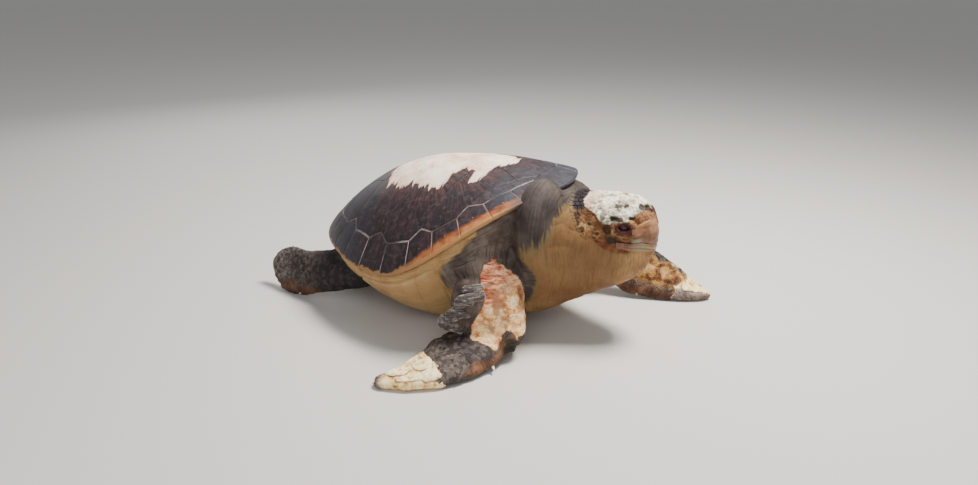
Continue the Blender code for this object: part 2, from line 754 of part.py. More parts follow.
def build_claws(parts):
    for place, (tip, direction) in CLAWS.items():
        claw = cone("claw_" + place, tip, direction, CLAW_LENGTH, CLAW_RADIUS)
        room = fattened(claw, GAP)
        end, side = place.split("_")
        flipper = ("fore_flipper_" if end == "front" else "hind_flipper_") + side
        carve(parts[flipper], room)
        bpy.data.objects.remove(room)


clear_scene()
build_scutes()
body = build_body()
build_face(body["head"])
build_claws(body)
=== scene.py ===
import itertools
import math
import time

import bmesh
import bpy
import numpy as np
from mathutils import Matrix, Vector


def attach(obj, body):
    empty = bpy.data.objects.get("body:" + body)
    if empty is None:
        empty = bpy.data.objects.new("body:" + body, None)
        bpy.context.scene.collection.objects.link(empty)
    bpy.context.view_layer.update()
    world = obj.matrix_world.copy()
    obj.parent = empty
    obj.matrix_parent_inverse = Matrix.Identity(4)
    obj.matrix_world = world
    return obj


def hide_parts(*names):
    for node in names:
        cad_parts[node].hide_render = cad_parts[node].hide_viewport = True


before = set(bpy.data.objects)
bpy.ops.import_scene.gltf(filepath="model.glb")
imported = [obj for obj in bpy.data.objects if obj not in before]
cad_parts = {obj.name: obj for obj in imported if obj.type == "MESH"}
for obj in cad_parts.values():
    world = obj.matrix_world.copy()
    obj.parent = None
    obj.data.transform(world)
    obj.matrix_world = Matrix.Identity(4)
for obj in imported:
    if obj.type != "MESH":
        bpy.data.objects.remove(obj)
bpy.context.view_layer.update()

startTime = time.time()


def report(words):
    print(f"{time.time() - startTime:6.1f} s  {words}")


# Numbers and noise

def smooth(t):  # smoothstep: t * t * (3 - 2 * t) for t held between 0 and 1
    t = np.clip(t, 0, 1)
    return t * t * (3 - 2 * t)


def grain(points, size, seed=0):
    # Smooth lumps from -1 to 1: random heights on a lattice of that size, blended by smoothstep
    at = np.asarray(points) / size + 31.7
    base = np.floor(at).astype(np.int64)
    part = smooth(at - base)
    total = np.zeros(len(at))
    for corner in itertools.product((0, 1), repeat=3):
        place = base + corner
        n = place[:, 0] * 374761393 + place[:, 1] * 668265263 + place[:, 2] * 974634777 + seed * 7919
        n = (n ^ (n >> 13)) * 1274126177 & 0xFFFFFFFF
        height = ((n ^ (n >> 16)) & 0xFFFF) / 32767.5 - 1
        weight = np.prod(np.where(corner, part, 1 - part), axis=1)
        total += height * weight
    return total


def rough(points, size, seed=0, layers=3):  # several sizes of lumps, each half as big as the last
    return sum(grain(points, size / 2**k, seed + 13 * k) / 2**k for k in range(layers))


def unit(vectors):  # each made one long
    return vectors / np.maximum(np.linalg.norm(vectors, axis=-1, keepdims=True), 1e-12)


def bell(values, at, width):  # 1 at that value, falling off evenly on both sides
    return np.exp(-(((values - at) / width) ** 2))


def bent(values, power):  # the power of the size, with the sign kept
    return np.sign(values) * np.abs(values) ** power


def fullTurn(count):
    return np.linspace(0, 2 * math.pi, count, endpoint=False)


def stacked(*parts):  # x, y and z arrays of shapes that fit each other, as points
    return np.stack(np.broadcast_arrays(*parts), axis=-1)


def distanceAlong(path):  # along a row of points, 0 at the first
    return np.concatenate([[0], np.cumsum(np.linalg.norm(np.diff(path, axis=0), axis=1))])


def through(values, count):
    # A Catmull-Rom curve through rows of values: the cubic whose slope at a row joins its neighbours
    rows = np.asarray(values, float)
    padded = np.vstack([2 * rows[0] - rows[1], rows, 2 * rows[-1] - rows[-2]])
    at = np.linspace(0, len(rows) - 1, count)
    k = np.minimum(at.astype(int), len(rows) - 2)
    t = (at - k)[:, None]
    p0, p1, p2, p3 = (padded[k + j] for j in range(4))
    return 0.5 * (2 * p1 + (p2 - p0) * t + (2 * p0 - 5 * p1 + 4 * p2 - p3) * t**2
                  + (3 * p1 - p0 - 3 * p2 + p3) * t**3)


def outlineDistance(points, outline):  # signed distance to a closed outline, less than 0 inside
    start, end = outline, np.roll(outline, -1, axis=0)
    best = np.full(len(points), 1e9)
    nearest = np.zeros(len(points), int)
    inside = np.zeros(len(points), bool)
    for k, (a, b) in enumerate(zip(start, end)):
        edge = b - a
        t = np.clip((points - a) @ edge / max(edge @ edge, 1e-12), 0, 1)
        away = np.linalg.norm(points - a - t[:, None] * edge, axis=1)
        nearest[away < best] = k
        best = np.minimum(best, away)
        crosses = (a[1] > points[:, 1]) != (b[1] > points[:, 1])
        rise = np.where(b[1] == a[1], 1e-9, b[1] - a[1])
        inside ^= crosses & (points[:, 0] < edge[0] * (points[:, 1] - a[1]) / rise + a[0])
    return np.where(inside, -best, best), nearest


# Meshes

def meshFrom(name, points, quads, tris=()):
    # A mesh from points, quads and triangles given as arrays of numbers
    quads, tris = np.reshape(quads, (-1, 4)).astype(np.int32), np.reshape(tris, (-1, 3)).astype(np.int32)
    corners = np.concatenate([quads.ravel(), tris.ravel()])
    sizes = np.concatenate([np.full(len(quads), 4), np.full(len(tris), 3)]).astype(np.int32)
    mesh = bpy.data.meshes.new(name)
    mesh.vertices.add(len(points))
    mesh.loops.add(len(corners))
    mesh.polygons.add(len(sizes))
    mesh.vertices.foreach_set("co", np.asarray(points, np.float32).ravel())
    mesh.loops.foreach_set("vertex_index", corners)
    mesh.polygons.foreach_set("loop_start", (np.cumsum(sizes) - sizes).astype(np.int32))
    mesh.polygons.foreach_set("use_smooth", np.ones(len(sizes), bool))
    mesh.update(calc_edges=True)
    mesh.validate()
    return mesh


def volumeOf(points, quads, tris):  # six times the volume that the faces enclose, with their sign
    faces = np.concatenate([np.asarray(tris).reshape(-1, 3), quads[:, [0, 1, 2]], quads[:, [0, 2, 3]]])
    a, b, c = (points[faces[:, k]] for k in range(3))
    return np.sum(a * np.cross(b, c))


def ringsToFaces(rows, columns):
    # Faces of a closed body: quads between neighbouring rings, and a fan from a middle point at each end
    k = np.arange(columns)
    after = (k + 1) % columns
    starts = np.arange(rows - 1) * columns
    quads = [np.stack([j + k, j + after, j + columns + after, j + columns + k], 1) for j in starts]
    last = (rows - 1) * columns
    first = rows * columns
    tris = [np.stack([np.full(columns, first), after, k], 1),
            np.stack([np.full(columns, first + 1), last + k, last + after], 1)]
    return np.concatenate(quads), np.concatenate(tris)


def bodyOfRings(name, rings):
    # rings is rows by columns by 3; the two middle points are the means of the end rings
    rings = np.asarray(rings)
    rows, columns = rings.shape[:2]
    points = np.concatenate([rings.reshape(-1, 3), [rings[0].mean(0)], [rings[-1].mean(0)]])
    quads, tris = ringsToFaces(rows, columns)
    if volumeOf(points, quads, tris) < 0:
        quads, tris = quads[:, ::-1], tris[:, ::-1]
    return meshFrom(name, points, quads, tris)


def inScene(name, data):  # a new object in the scene
    obj = bpy.data.objects.new(name, data)
    bpy.context.scene.collection.objects.link(obj)
    return obj


def place(mesh, material, replaced=(), slot="skin"):
    obj = inScene(mesh.name, mesh)
    mesh.materials.clear()
    mesh.materials.append(material)
    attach(obj, "root")
    if replaced:
        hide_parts(*replaced)
    return obj


def setValue(mesh, name, values):  # one number, or one vector, for each point of the mesh
    values = np.asarray(values, np.float32)
    kind = "FLOAT" if values.ndim == 1 else "FLOAT_VECTOR"
    layer = mesh.attributes.new(name, kind, "POINT")
    layer.data.foreach_set("value" if values.ndim == 1 else "vector", values.ravel())


# Materials: short names for the nodes that every finish uses

class Finish:
    def __init__(self, name, roughness=0.5, **sockets):
        self.material = bpy.data.materials.new(name)
        self.material.use_nodes = True
        self.tree = self.material.node_tree
        self.shader = self.tree.nodes["Principled BSDF"]
        self.shader.inputs["Roughness"].default_value = roughness
        for socket, value in sockets.items():
            self.shader.inputs[socket.replace("_", " ")].default_value = value
        self.place = self.node("TexCoord").outputs["Object"]

    def put(self, socket, value):
        if isinstance(value, bpy.types.NodeSocket):
            self.tree.links.new(value, socket)
        elif hasattr(value, "__len__") and len(value) == 3 and len(socket.default_value) == 4:
            socket.default_value = (*value, 1)
        else:
            socket.default_value = value

    def node(self, kind, **values):  # a new node with its named sockets filled
        node = self.tree.nodes.new("ShaderNode" + kind)
        for name, value in values.items():
            self.put(node.inputs[name.replace("_", " ")], value)
        return node

    def sums(self, kind, *values):
        node = self.node("Math")
        node.operation = kind
        for socket, value in zip(node.inputs, values):
            self.put(socket, value)
        return node.outputs[0]

    def plus(self, first, second):
        return self.sums("ADD", first, second)

    def less(self, first, second):
        return self.sums("SUBTRACT", first, second)

    def times(self, first, second):
        return self.sums("MULTIPLY", first, second)

    def size(self, value):
        return self.sums("ABSOLUTE", value)

    def swayed(self, value, noise, amount):  # moved up and down by a noise about its middle of 0.5
        return self.plus(value, self.times(self.less(noise, 0.5), amount))

    def stretched(self, scale, turn=(0, 0, 0), vector=None):
        # Places scaled and turned, so that a noise is drawn out
        return self.node("Mapping", Vector=vector or self.place, Scale=scale, Rotation=turn).outputs[0]

    def noise(self, scale, detail=3, vector=None, roughness=0.55, distortion=0):
        node = self.node("TexNoise", Vector=vector or self.place, Scale=scale, Detail=detail,
                         Roughness=roughness, Distortion=distortion)
        return node.outputs["Fac"]

    def cells(self, scale, feature="F1", output="Distance"):
        # Distance to, or colour of, the nearest of scattered points
        node = self.node("TexVoronoi", Vector=self.place, Scale=scale)
        node.feature = feature
        return node.outputs[output]

    def value(self, name, vector=False):
        node = self.node("Attribute")
        node.attribute_name = name
        return node.outputs["Vector" if vector else "Fac"]

    def axis(self, name):
        return self.node("SeparateXYZ", Vector=self.place).outputs[name]

    def step(self, value, low, high):  # smoothly from 0 at low to 1 at high
        node = self.node("MapRange", Value=value, From_Min=min(low, high), From_Max=max(low, high),
                         To_Min=float(low > high), To_Max=float(low < high))
        node.interpolation_type = "SMOOTHSTEP"
        return node.outputs[0]

    def mix(self, share, first, second):
        node = self.node("Mix")
        node.data_type = "RGBA"
        for socket, value in ((0, share), (6, first), (7, second)):
            self.put(node.inputs[socket], value)
        return node.outputs[2]

    def tint(self, base, colour, share, amount):
        return self.mix(self.times(share, amount), base, colour)

    def blend(self, value, *stops):  # stops are a place from 0 to 1 and a colour
        node = self.node("ValToRGB", Fac=value)
        steps = node.color_ramp.elements
        while len(steps) < len(stops):
            steps.new(0.5)
        for step, (at, colour) in zip(steps, stops):
            step.position, step.color = at, (*colour, 1)
        return node.outputs["Color"]

    def done(self, colour, roughness=None, height=None, strength=0.5, distance=0.001):
        self.put(self.shader.inputs["Base Color"], colour)
        if roughness is not None:
            self.put(self.shader.inputs["Roughness"], roughness)
        if height is not None:
            bump = self.node("Bump", Strength=strength, Distance=distance, Height=height)
            self.put(self.shader.inputs["Normal"], bump.outputs["Normal"])
        return self.material


# The shell's curved surface, in its own frame before it is pitched and lifted

shell = dict(length=0.88, width=0.7, crest=0.362, crestAt=0.06, rimFront=0.288, rimMiddle=0.088, rimRear=0.12,
             pitch=math.radians(6), lift=0.118, thick=0.005, brim=0.014, hub=(0.02, 0.0),
             innerRing=0.85, costalTip=0.8)
hub = np.array(shell["hub"])


def alongShares(u):  # how far ahead of the crest and behind it, each from 0 to 1
    ahead = np.clip((u - shell["crestAt"]) / (0.5 - shell["crestAt"]), 0, 1)
    behind = np.clip((shell["crestAt"] - u) / (0.5 + shell["crestAt"]), 0, 1)
    return ahead, behind


def halfWidth(u):  # a superellipse ahead of the crest and a fuller, more pointed one behind it
    ahead, behind = alongShares(u)
    return shell["width"] / 2 * np.sqrt(1 - ahead**2.1) * (1 - behind**1.8) ** 0.72


def rimHeight(u):  # one height amidships, eased by smoothstep to others at the front and rear
    middle = shell["rimMiddle"]
    return (middle + (shell["rimFront"] - middle) * smooth((u + 0.05) / 0.55)
            + (shell["rimRear"] - middle) * smooth((-0.05 - u) / 0.45))


def shellHeight(x, y):  # from the rim up to the crest line by 1 - across**2.05
    u = np.clip(x / shell["length"], -0.5, 0.5)
    ahead, behind = alongShares(u)
    front = shell["rimFront"] + (shell["crest"] - shell["rimFront"]) * (1 - ahead**2.3)
    rear = shell["rimRear"] + (shell["crest"] - shell["rimRear"]) * (1 - behind**2.0)
    crest = np.where(u > shell["crestAt"], front, rear)
    across = np.clip(np.abs(y) / np.maximum(halfWidth(u), 1e-5), 0, 1)
    rim = rimHeight(u)
    return rim + np.maximum(crest - rim, 0) * (1 - across**2.05)


def rimTable():  # the rim from front to rear: the share of its length, and its place in plan
    u = 0.5 * np.cos(np.linspace(0, math.pi, 400))
    points = np.stack([u * shell["length"], halfWidth(u), rimHeight(u)], axis=1)
    along = distanceAlong(points)
    return along / along[-1], points[:, :2]


rimShare, rimPlan = rimTable()


def ring(s, reach, side):
    # Plan point a share s round the rim from the front, and a share reach out from the hub
    s, reach, side = np.broadcast_arrays(np.asarray(s, float), reach, side)
    x = np.interp(s, rimShare, rimPlan[:, 0])
    y = np.interp(s, rimShare, rimPlan[:, 1]) * side
    return np.stack([hub[0] + (x - hub[0]) * reach, y * reach], axis=-1)


def reachOf(plan):  # how far out from the hub a plan point is, 1 at the rim, found by halving
    low, high = np.zeros(len(plan)), np.full(len(plan), 3.0)
    for _ in range(22):
        middle = (low + high) / 2
        x, y = hub[0] + (plan[:, 0] - hub[0]) * middle, plan[:, 1] * middle
        u = x / shell["length"]
        inside = (np.abs(u) < 0.5) & (np.abs(y) < halfWidth(np.clip(u, -0.5, 0.5)))
        low, high = np.where(inside, middle, low), np.where(inside, high, middle)
    return 1 / np.maximum(low, 1e-6)


def shellNormals(plan):  # across the slopes in x and y, taken over a few millimetres a little inside the rim
    x, y = (hub + (plan - hub) * 0.97).T
    step = 0.004
    slopeX = (shellHeight(x + step, y) - shellHeight(x - step, y)) / (2 * step)
    slopeY = (shellHeight(x, y + step) - shellHeight(x, y - step)) / (2 * step)
    return unit(np.stack([-slopeX, -slopeY, np.ones(len(plan))], axis=1))


def scuteDepth(plan):
    # One thickness, eased to that of the brim by smoothstep between the inner ring and the rim
    edge = smooth((np.clip(reachOf(plan), 0, 1) - shell["innerRing"]) / (1 - shell["innerRing"]))
    return shell["thick"] + (shell["brim"] - shell["thick"]) * edge


def settled(points):  # pitched up in front and lifted on to the belly
    x, y, z = points.T
    sine, cosine = math.sin(shell["pitch"]), math.cos(shell["pitch"])
    return np.column_stack([x * cosine - z * sine, y, x * sine + z * cosine + shell["lift"]])


def unsettled(points):  # the way back from settled: lowered, then pitched down
    x, y, z = points[:, 0], points[:, 1], points[:, 2] - shell["lift"]
    sine, cosine = math.sin(shell["pitch"]), math.cos(shell["pitch"])
    return np.column_stack([x * cosine + z * sine, y, z * cosine - x * sine])


def shellPoints(plan, below):  # the curved surface at plan points, sunk along its normal and settled
    face = np.column_stack([plan, shellHeight(plan[:, 0], plan[:, 1])])
    return settled(face - shellNormals(plan) * np.reshape(below, (-1, 1)))


# Where horn has come off the top of the shell and the bone shows

barePatch = dict(
    outline=np.array([(-0.125, -0.05), (-0.1, -0.13), (-0.06, -0.155), (0.095, -0.172), (0.12, -0.118),
                      (0.145, -0.092), (0.182, -0.105), (0.184, -0.158), (0.212, -0.15), (0.238, -0.072),
                      (0.285, -0.005), (0.25, 0.06), (0.12, 0.095), (-0.02, 0.085), (-0.11, 0.04)]),
    finger=(0.009, 0.085), reach=0.02, drop=0.0013)


def bareDistance(plan):  # distance to the patch, made ragged by noise drawn out down the shell's slope
    flat = np.column_stack([plan / barePatch["finger"], np.zeros(len(plan))])
    ragged = rough(flat, 1.0, 5, 2) * 0.5 + rough(flat * 0.4, 1.0, 8, 2) * 0.5
    ragged = ragged + rough(flat * (2.4, 1.7, 1), 1.0, 9, 2) * 0.45
    ragged *= barePatch["reach"]
    return outlineDistance(plan, barePatch["outline"])[0] + ragged


# Scutes: each is its outline laid on the shell, in rings about its middle

scutes = dict(gap=0.00035, step=0.0042, dome=0.0008, bevel=0.0045, bevelDrop=0.0014, ringEvery=0.0075,
              ringHeight=0.00022, unevenness=0.0007, rimRoll=0.0022)
columnSeams = [(0.245, 0.062), (0.09, 0.064), (-0.07, 0.06), (-0.215, 0.05)]
columnCorners = [(0.32, 0.112), (0.17, 0.118), (0.01, 0.114), (-0.145, 0.098)]
frontShares = [0.085 + 0.08 * k for k in range(9)]
rimSeams = frontShares + [frontShares[-1] + (1 - frontShares[-1]) * k / 4 for k in range(1, 5)]
costalSeams = [(rimSeams[k] + rimSeams[k + 1]) / 2 for k in (2, 4, 6, 8)]


def straight(start, end, pale=0.0):
    # Points along start + (end - start) * t, without the last, each with its lightness
    start, end = np.asarray(start, float), np.asarray(end, float)
    count = max(2, math.ceil(np.linalg.norm(end - start) / scutes["step"]))
    t = np.arange(count)[:, None] / count
    return start + (end - start) * t, np.full(count, pale)


def rimRun(start, end, side):  # points along the rim between two shares, without the last, none of them light
    count = max(3, math.ceil(abs(end - start) * 1.35 / scutes["step"]))
    s = start + (end - start) * np.arange(count) / count
    return ring(s, 1.0, side), np.full(count, 0.0)


def aroundCorners(corners, pale=()):  # pale holds the numbers of the edges with a light seam
    ends = zip(corners, corners[1:] + corners[:1])
    return joined([straight(a, b, 1.0 if k in pale else 0.0) for k, (a, b) in enumerate(ends)])


def joined(runs):
    return np.concatenate([run[0] for run in runs]), np.concatenate([run[1] for run in runs])


def inset(outline, by):  # drawn in along the mitre of the two edges that meet at each point
    before, after = np.roll(outline, 1, axis=0), np.roll(outline, -1, axis=0)
    turn = np.sign(np.sum(outline[:, 0] * after[:, 1] - after[:, 0] * outline[:, 1]))
    inward = []
    for edge in (outline - before, after - outline):
        edge = unit(edge)
        inward.append(np.stack([-edge[:, 1], edge[:, 0]], axis=1) * turn)
    mitre = unit(inward[0] + inward[1])
    return outline + mitre * by / np.maximum(np.sum(mitre * inward[0], axis=1, keepdims=True), 0.4)


def buildScute(name, outline, pale, material):
    # A point is middle + (edge - middle) * r in plan. Its height over the shell is a low dome, less a
    # bevel near the edge, plus growth rings that fade inwards and noise, less the horn lost over bare bone
    edge = inset(outline, scutes["gap"] * (1 - 0.7 * smooth(0.5 - bareDistance(outline) / 0.01))[:, None])
    middle = edge.mean(axis=0)
    size = np.linalg.norm(edge - middle, axis=1).max()
    rows = int(np.clip(size / 0.0062, 7, 22))
    shares = np.concatenate([np.linspace(0.06, 0.9, rows), [0.94, 0.97, 0.988, 1.0]])
    plan = middle + (edge - middle)[None] * shares[:, None, None]
    flat = plan.reshape(-1, 2)
    away = -outlineDistance(flat, edge)[0].clip(None, 0)
    near = outlineDistance(flat, edge)[1]
    bare = bareDistance(flat)
    gone = smooth(0.5 - bare / 0.003)
    spots = np.column_stack([flat, np.zeros(len(flat))])
    bevel = scutes["bevelDrop"] * (1 - smooth(away / scutes["bevel"])) ** 2
    bevel = bevel * (1 - 0.85 * gone) * (0.4 + 0.6 * pale[near])
    height = scutes["dome"] * smooth(away / (0.5 * size)) - bevel
    rings = scutes["ringHeight"] * np.sin(away / scutes["ringEvery"] * 2 * math.pi)
    height += rings * np.exp(-away / 0.03) * (1 - gone)
    height += scutes["unevenness"] * rough(spots, 0.06, 3) * (0.5 + 0.5 * smooth(away / 0.02))
    height -= gone * barePatch["drop"] * (1 + 0.25 * grain(spots, 0.012, 4))
    top = shellPoints(flat, -height).reshape(*plan.shape[:2], 3)
    depth = scuteDepth(edge)
    walls = [shellPoints(edge, depth * share) for share in (0.35, 0.7, 1.0)]
    onRim = (reachOf(outline) > 0.995).astype(float)[:, None]
    outward = settled(np.column_stack([hub + (edge - hub) * 1.02, np.zeros(len(edge))]))
    outward = unit(outward - settled(np.column_stack([edge, np.zeros(len(edge))])))
    for k, bulge in enumerate((1.0, 0.9, 0.0)):
        walls[k] = walls[k] + outward * onRim * bulge * scutes["rimRoll"]
    inner = [shellPoints(middle + (edge - middle) * share, scuteDepth(middle + (edge - middle) * share))
             for share in (0.9, 0.6, 0.2)]
    rings = np.array([*top, *walls, *inner])
    mesh = bodyOfRings(name + "Horn", rings)
    count, columns = len(rings), len(edge)
    extra = (count - len(shares)) * columns + 2

    def spread(values, below):  # the values of the top, and one value for all the points below it
        return np.concatenate([values, np.full(extra, below)])

    # streaks fan out from where growth began: the middle of a vertebral, higher up for the others
    focus = hub + (middle - hub) * (1.0 if "vertebral" in name else 0.0 if "marginal" in name else 0.55)
    angle = np.arctan2(*(flat - focus).T[::-1])
    turn = np.random.default_rng(len(name) * 31 + ord(name[-1])).uniform(0, 9)
    spin = 3 + 14 * np.linalg.norm(middle - focus)
    fromFocus = np.linalg.norm(flat - focus, axis=1)
    growth = np.column_stack([np.cos(angle) * spin + turn, np.sin(angle) * spin + turn, fromFocus * 6])
    rim = (1 - reachOf(flat)) * 0.35
    setValue(mesh, "edge", spread(away, 0))
    setValue(mesh, "pale", np.concatenate([pale[near], np.tile(pale, count - len(shares)), [0, 0]]))
    setValue(mesh, "bare", spread(bare, 0.02))
    setValue(mesh, "rim", spread(rim, 0.0))
    edge = np.tile(growth[-columns:], (count - len(shares), 1))
    setValue(mesh, "growth", np.concatenate([growth, edge, growth[:2]]))
    return mesh, place(mesh, material, [scuteNode(name)], "scute")


def scuteNode(name):  # costalLeft3 stands for costal_left_3
    letters = name.rstrip("0123456789")
    words = letters.replace("Left", "_left").replace("Right", "_right")
    return words + ("_" + name[len(letters):] if name != letters else "")


def hornFinish():
    # Dark plum horn with maroon streaks along its growth, slate at both ends, light at seams, orange at the
    # front of the rim, and bone where the horn is gone
    f = Finish("horn", 0.42, Specular_IOR_Level=0.35, Coat_Weight=0.08, Coat_Roughness=0.34)
    growth = f.value("growth", vector=True)
    streaks = f.noise(2.4, 6, f.stretched((1.5, 1.5, 0.8), vector=growth), 0.68, 0.3)
    fine = f.noise(9.0, 5, f.stretched((1.8, 1.8, 0.7), vector=growth), 0.72)
    clouds = f.noise(7, 5, roughness=0.65)
    mottle = f.noise(56, 5, roughness=0.74)
    base = f.blend(streaks, (0.34, (0.008, 0.006, 0.009)), (0.47, (0.016, 0.01, 0.014)),
                   (0.59, (0.034, 0.016, 0.019)), (0.74, (0.075, 0.036, 0.032)))
    base = f.tint(base, (0.095, 0.066, 0.068), f.step(mottle, 0.48, 0.66), 0.5)
    slate = f.blend(fine, (0.34, (0.014, 0.015, 0.023)), (0.52, (0.036, 0.038, 0.052)),
                    (0.7, (0.085, 0.088, 0.1)))
    x = f.axis("X")
    cool = f.sums("MAXIMUM", f.step(x, -0.06, -0.32), f.step(x, 0.17, 0.33))
    cool = f.times(cool, f.step(f.plus(clouds, f.times(mottle, 0.4)), 0.52, 0.78))
    colour = f.tint(base, slate, cool, 0.9)
    rusty = f.times(f.step(f.value("bare"), 0.06, 0.004), f.step(streaks, 0.44, 0.6))
    colour = f.tint(colour, (0.15, 0.05, 0.032), rusty, 0.35)
    flecks = f.step(f.noise(75, 4, roughness=0.75), 0.6, 0.76)
    colour = f.tint(colour, (0.22, 0.17, 0.16), flecks, 0.4)
    # light seams, brightest low on the rear of each side
    seamWide = f.swayed(f.value("edge"), f.noise(120, 4), 0.0024)
    bright = f.plus(f.times(f.step(f.noise(10, 3), 0.38, 0.6), 0.85), 0.12)
    seam = f.times(f.step(seamWide, 0.0017, 0.0006), f.times(f.value("pale"), bright))
    colour = f.mix(seam, colour, f.mix(f.step(x, 0.02, 0.16), (0.4, 0.33, 0.3), (0.36, 0.26, 0.24)))
    # orange and tan along the rim, strongest ahead of the middle
    rimWide = f.swayed(f.value("rim"), f.noise(34, 5, roughness=0.7), 0.022)
    ahead = f.step(x, -0.02, 0.15)
    reach = f.times(f.less(1.0, f.sums("DIVIDE", rimWide, f.plus(0.005, f.times(ahead, 0.023)))), 2.0)
    band = f.step(reach, 0.0, 1.1)
    amber = f.blend(f.noise(26, 4), (0.32, (0.13, 0.034, 0.012)), (0.5, (0.36, 0.105, 0.026)),
                    (0.7, (0.46, 0.2, 0.07)))
    brim = f.mix(f.step(rimWide, 0.008, 0.001), amber, (0.42, 0.215, 0.08))
    brim = f.tint(brim, (0.26, 0.135, 0.06), f.less(1.0, ahead), 0.7)
    colour = f.tint(colour, brim, band, f.step(x, 0.35, 0.285))
    # bone
    frayed = f.swayed(f.value("bare"), f.noise(170, 4), 0.006)
    bone = f.step(frayed, 0.0012, -0.0012)
    stain = f.plus(f.times(f.noise(15, 5, roughness=0.65), 0.5), f.times(fine, 0.5))
    boneColour = f.blend(stain, (0.36, (0.46, 0.25, 0.17)), (0.44, (0.72, 0.5, 0.37)),
                         (0.51, (0.9, 0.75, 0.61)), (0.62, (0.96, 0.88, 0.77)))
    lip = f.step(f.size(frayed), 0.012, 0.0)
    boneColour = f.tint(boneColour, (0.5, 0.25, 0.19), lip, 0.55)
    pits = f.step(f.cells(210), 0.16, 0.04)
    boneColour = f.tint(boneColour, (0.4, 0.25, 0.17), pits, 0.35)
    colour = f.mix(bone, colour, boneColour)
    dull = f.plus(0.34, f.times(fine, 0.3))
    dull = f.plus(dull, f.times(bone, 0.3))
    height = f.plus(f.times(fine, 0.7), f.times(streaks, 0.6))
    height = f.plus(height, f.times(mottle, 0.5))
    height = f.less(height, f.times(bone, 0.9))
    height = f.less(height, f.times(f.times(pits, bone), 0.4))
    return f.done(colour, dull, height, 0.55, 0.0012)


def buildShell():
    # The nuchal at the front, vertebrals down the middle, costals beside them and marginals round the rim
    horn = hornFinish()
    columnFront = ring(rimSeams[0], shell["innerRing"], 1) * (1, 0.6)
    inner = lambda share, side: ring(share, shell["innerRing"], side)
    edge = rimSeams[0]
    nuchal = [rimRun(edge, 0, 1), rimRun(0, edge, -1), straight(ring(edge, 1, -1), inner(edge, -1), 1.0),
              straight(inner(edge, -1), inner(edge, 1)), straight(inner(edge, 1), ring(edge, 1, 1), 1.0)]
    buildScute("nuchal", *joined(nuchal), horn)
    fronts = [tuple(columnFront), *columnSeams]
    for k in range(4):
        (x0, y0), (x1, y1), (x2, y2) = fronts[k], columnCorners[k], fronts[k + 1]
        corners = [(x0, y0), (x0, -y0), (x1, -y1), (x2, -y2), (x2, y2), (x1, y1)]
        buildScute(f"vertebral{k + 1}", *aroundCorners(corners), horn)
    x, y = fronts[4]
    right = [inner(share, -1) for share in rimSeams[10:12]]
    left = [inner(share, 1) for share in rimSeams[11:9:-1]]
    outline = [(x, y), (x, -y), *right, inner(1.0, 1), *left]
    buildScute("vertebral5", *aroundCorners(outline, (2, 3, 4, 5)), horn)
    for side, word in ((1, "Left"), (-1, "Right")):
        seams = [np.array([a, b * side]) for a, b in columnSeams]
        corners = [np.array([a, b * side]) for a, b in columnCorners]
        tips = [ring(share, shell["costalTip"], side) for share in costalSeams]
        forward = [inner(share, side) for share in rimSeams[2::-1]]
        first = [columnFront * (1, side), corners[0], tips[0], *forward]
        buildScute(f"costal{word}1", *aroundCorners(first, (2, 3, 4)), horn)
        for k in range(1, 4):
            between = [inner(share, side) for share in (rimSeams[2 * k + 2], rimSeams[2 * k + 1])]
            outline = [corners[k - 1], seams[k - 1], corners[k], tips[k], *between, tips[k - 1]]
            buildScute(f"costal{word}{k + 1}", *aroundCorners(outline, (3, 4, 5)), horn)
        last = [corners[3], seams[3], inner(rimSeams[10], side), inner(rimSeams[9], side), tips[3]]
        buildScute(f"costal{word}5", *aroundCorners(last, (2, 3)), horn)
        for k in range(12):
            start, end = rimSeams[k], rimSeams[k + 1]
            inside = [inner(end, side)]
            if (start + end) / 2 in costalSeams:
                inside.append(ring((start + end) / 2, shell["costalTip"], side))
            inside.append(inner(start, side))
            runs = [rimRun(start, end, side), straight(ring(end, 1, side), inside[0], 1.0)]
            runs += [straight(a, b, 1.0) for a, b in zip(inside, inside[1:])]
            runs.append(straight(inside[-1], ring(start, 1, side), 1.0))
            buildScute(f"marginal{word}{k + 1}", *joined(runs), horn)
    report("shell plates")


# Flesh: the lofts of head, neck, limbs and tail joined with the trunk into one skin

neckStations = [  # x, half-width, top, bottom, squareness
    (0.2, 0.18, 0.36, 0.045, 0.9), (0.3, 0.19, 0.41, 0.03, 0.88), (0.37, 0.178, 0.432, 0.05, 0.86),
    (0.43, 0.152, 0.424, 0.084, 0.9), (0.5, 0.122, 0.4, 0.122, 0.95), (0.55, 0.1, 0.35, 0.148, 1.0),
    (0.6, 0.076, 0.305, 0.176, 1.0), (0.632, 0.05, 0.28, 0.205, 1.0), (0.648, 0.028, 0.262, 0.225, 1.0)]
headStations = [
    (0.405, 0.055, 0.392, 0.3, 0.9), (0.43, 0.078, 0.411, 0.272, 0.88), (0.465, 0.089, 0.423, 0.255, 0.86),
    (0.51, 0.093, 0.428, 0.246, 0.85), (0.555, 0.089, 0.43, 0.241, 0.84), (0.595, 0.078, 0.428, 0.239, 0.84),
    (0.63, 0.06, 0.419, 0.241, 0.84), (0.654, 0.041, 0.4, 0.25, 0.85), (0.668, 0.02, 0.365, 0.275, 0.9)]
tailStations = [(-0.34, 0.055, 0.135, 0.02, 1.0), (-0.42, 0.04, 0.095, 0.008, 1.0),
                (-0.48, 0.022, 0.052, -0.002, 1.0), (-0.52, 0.008, 0.02, -0.002, 1.0)]
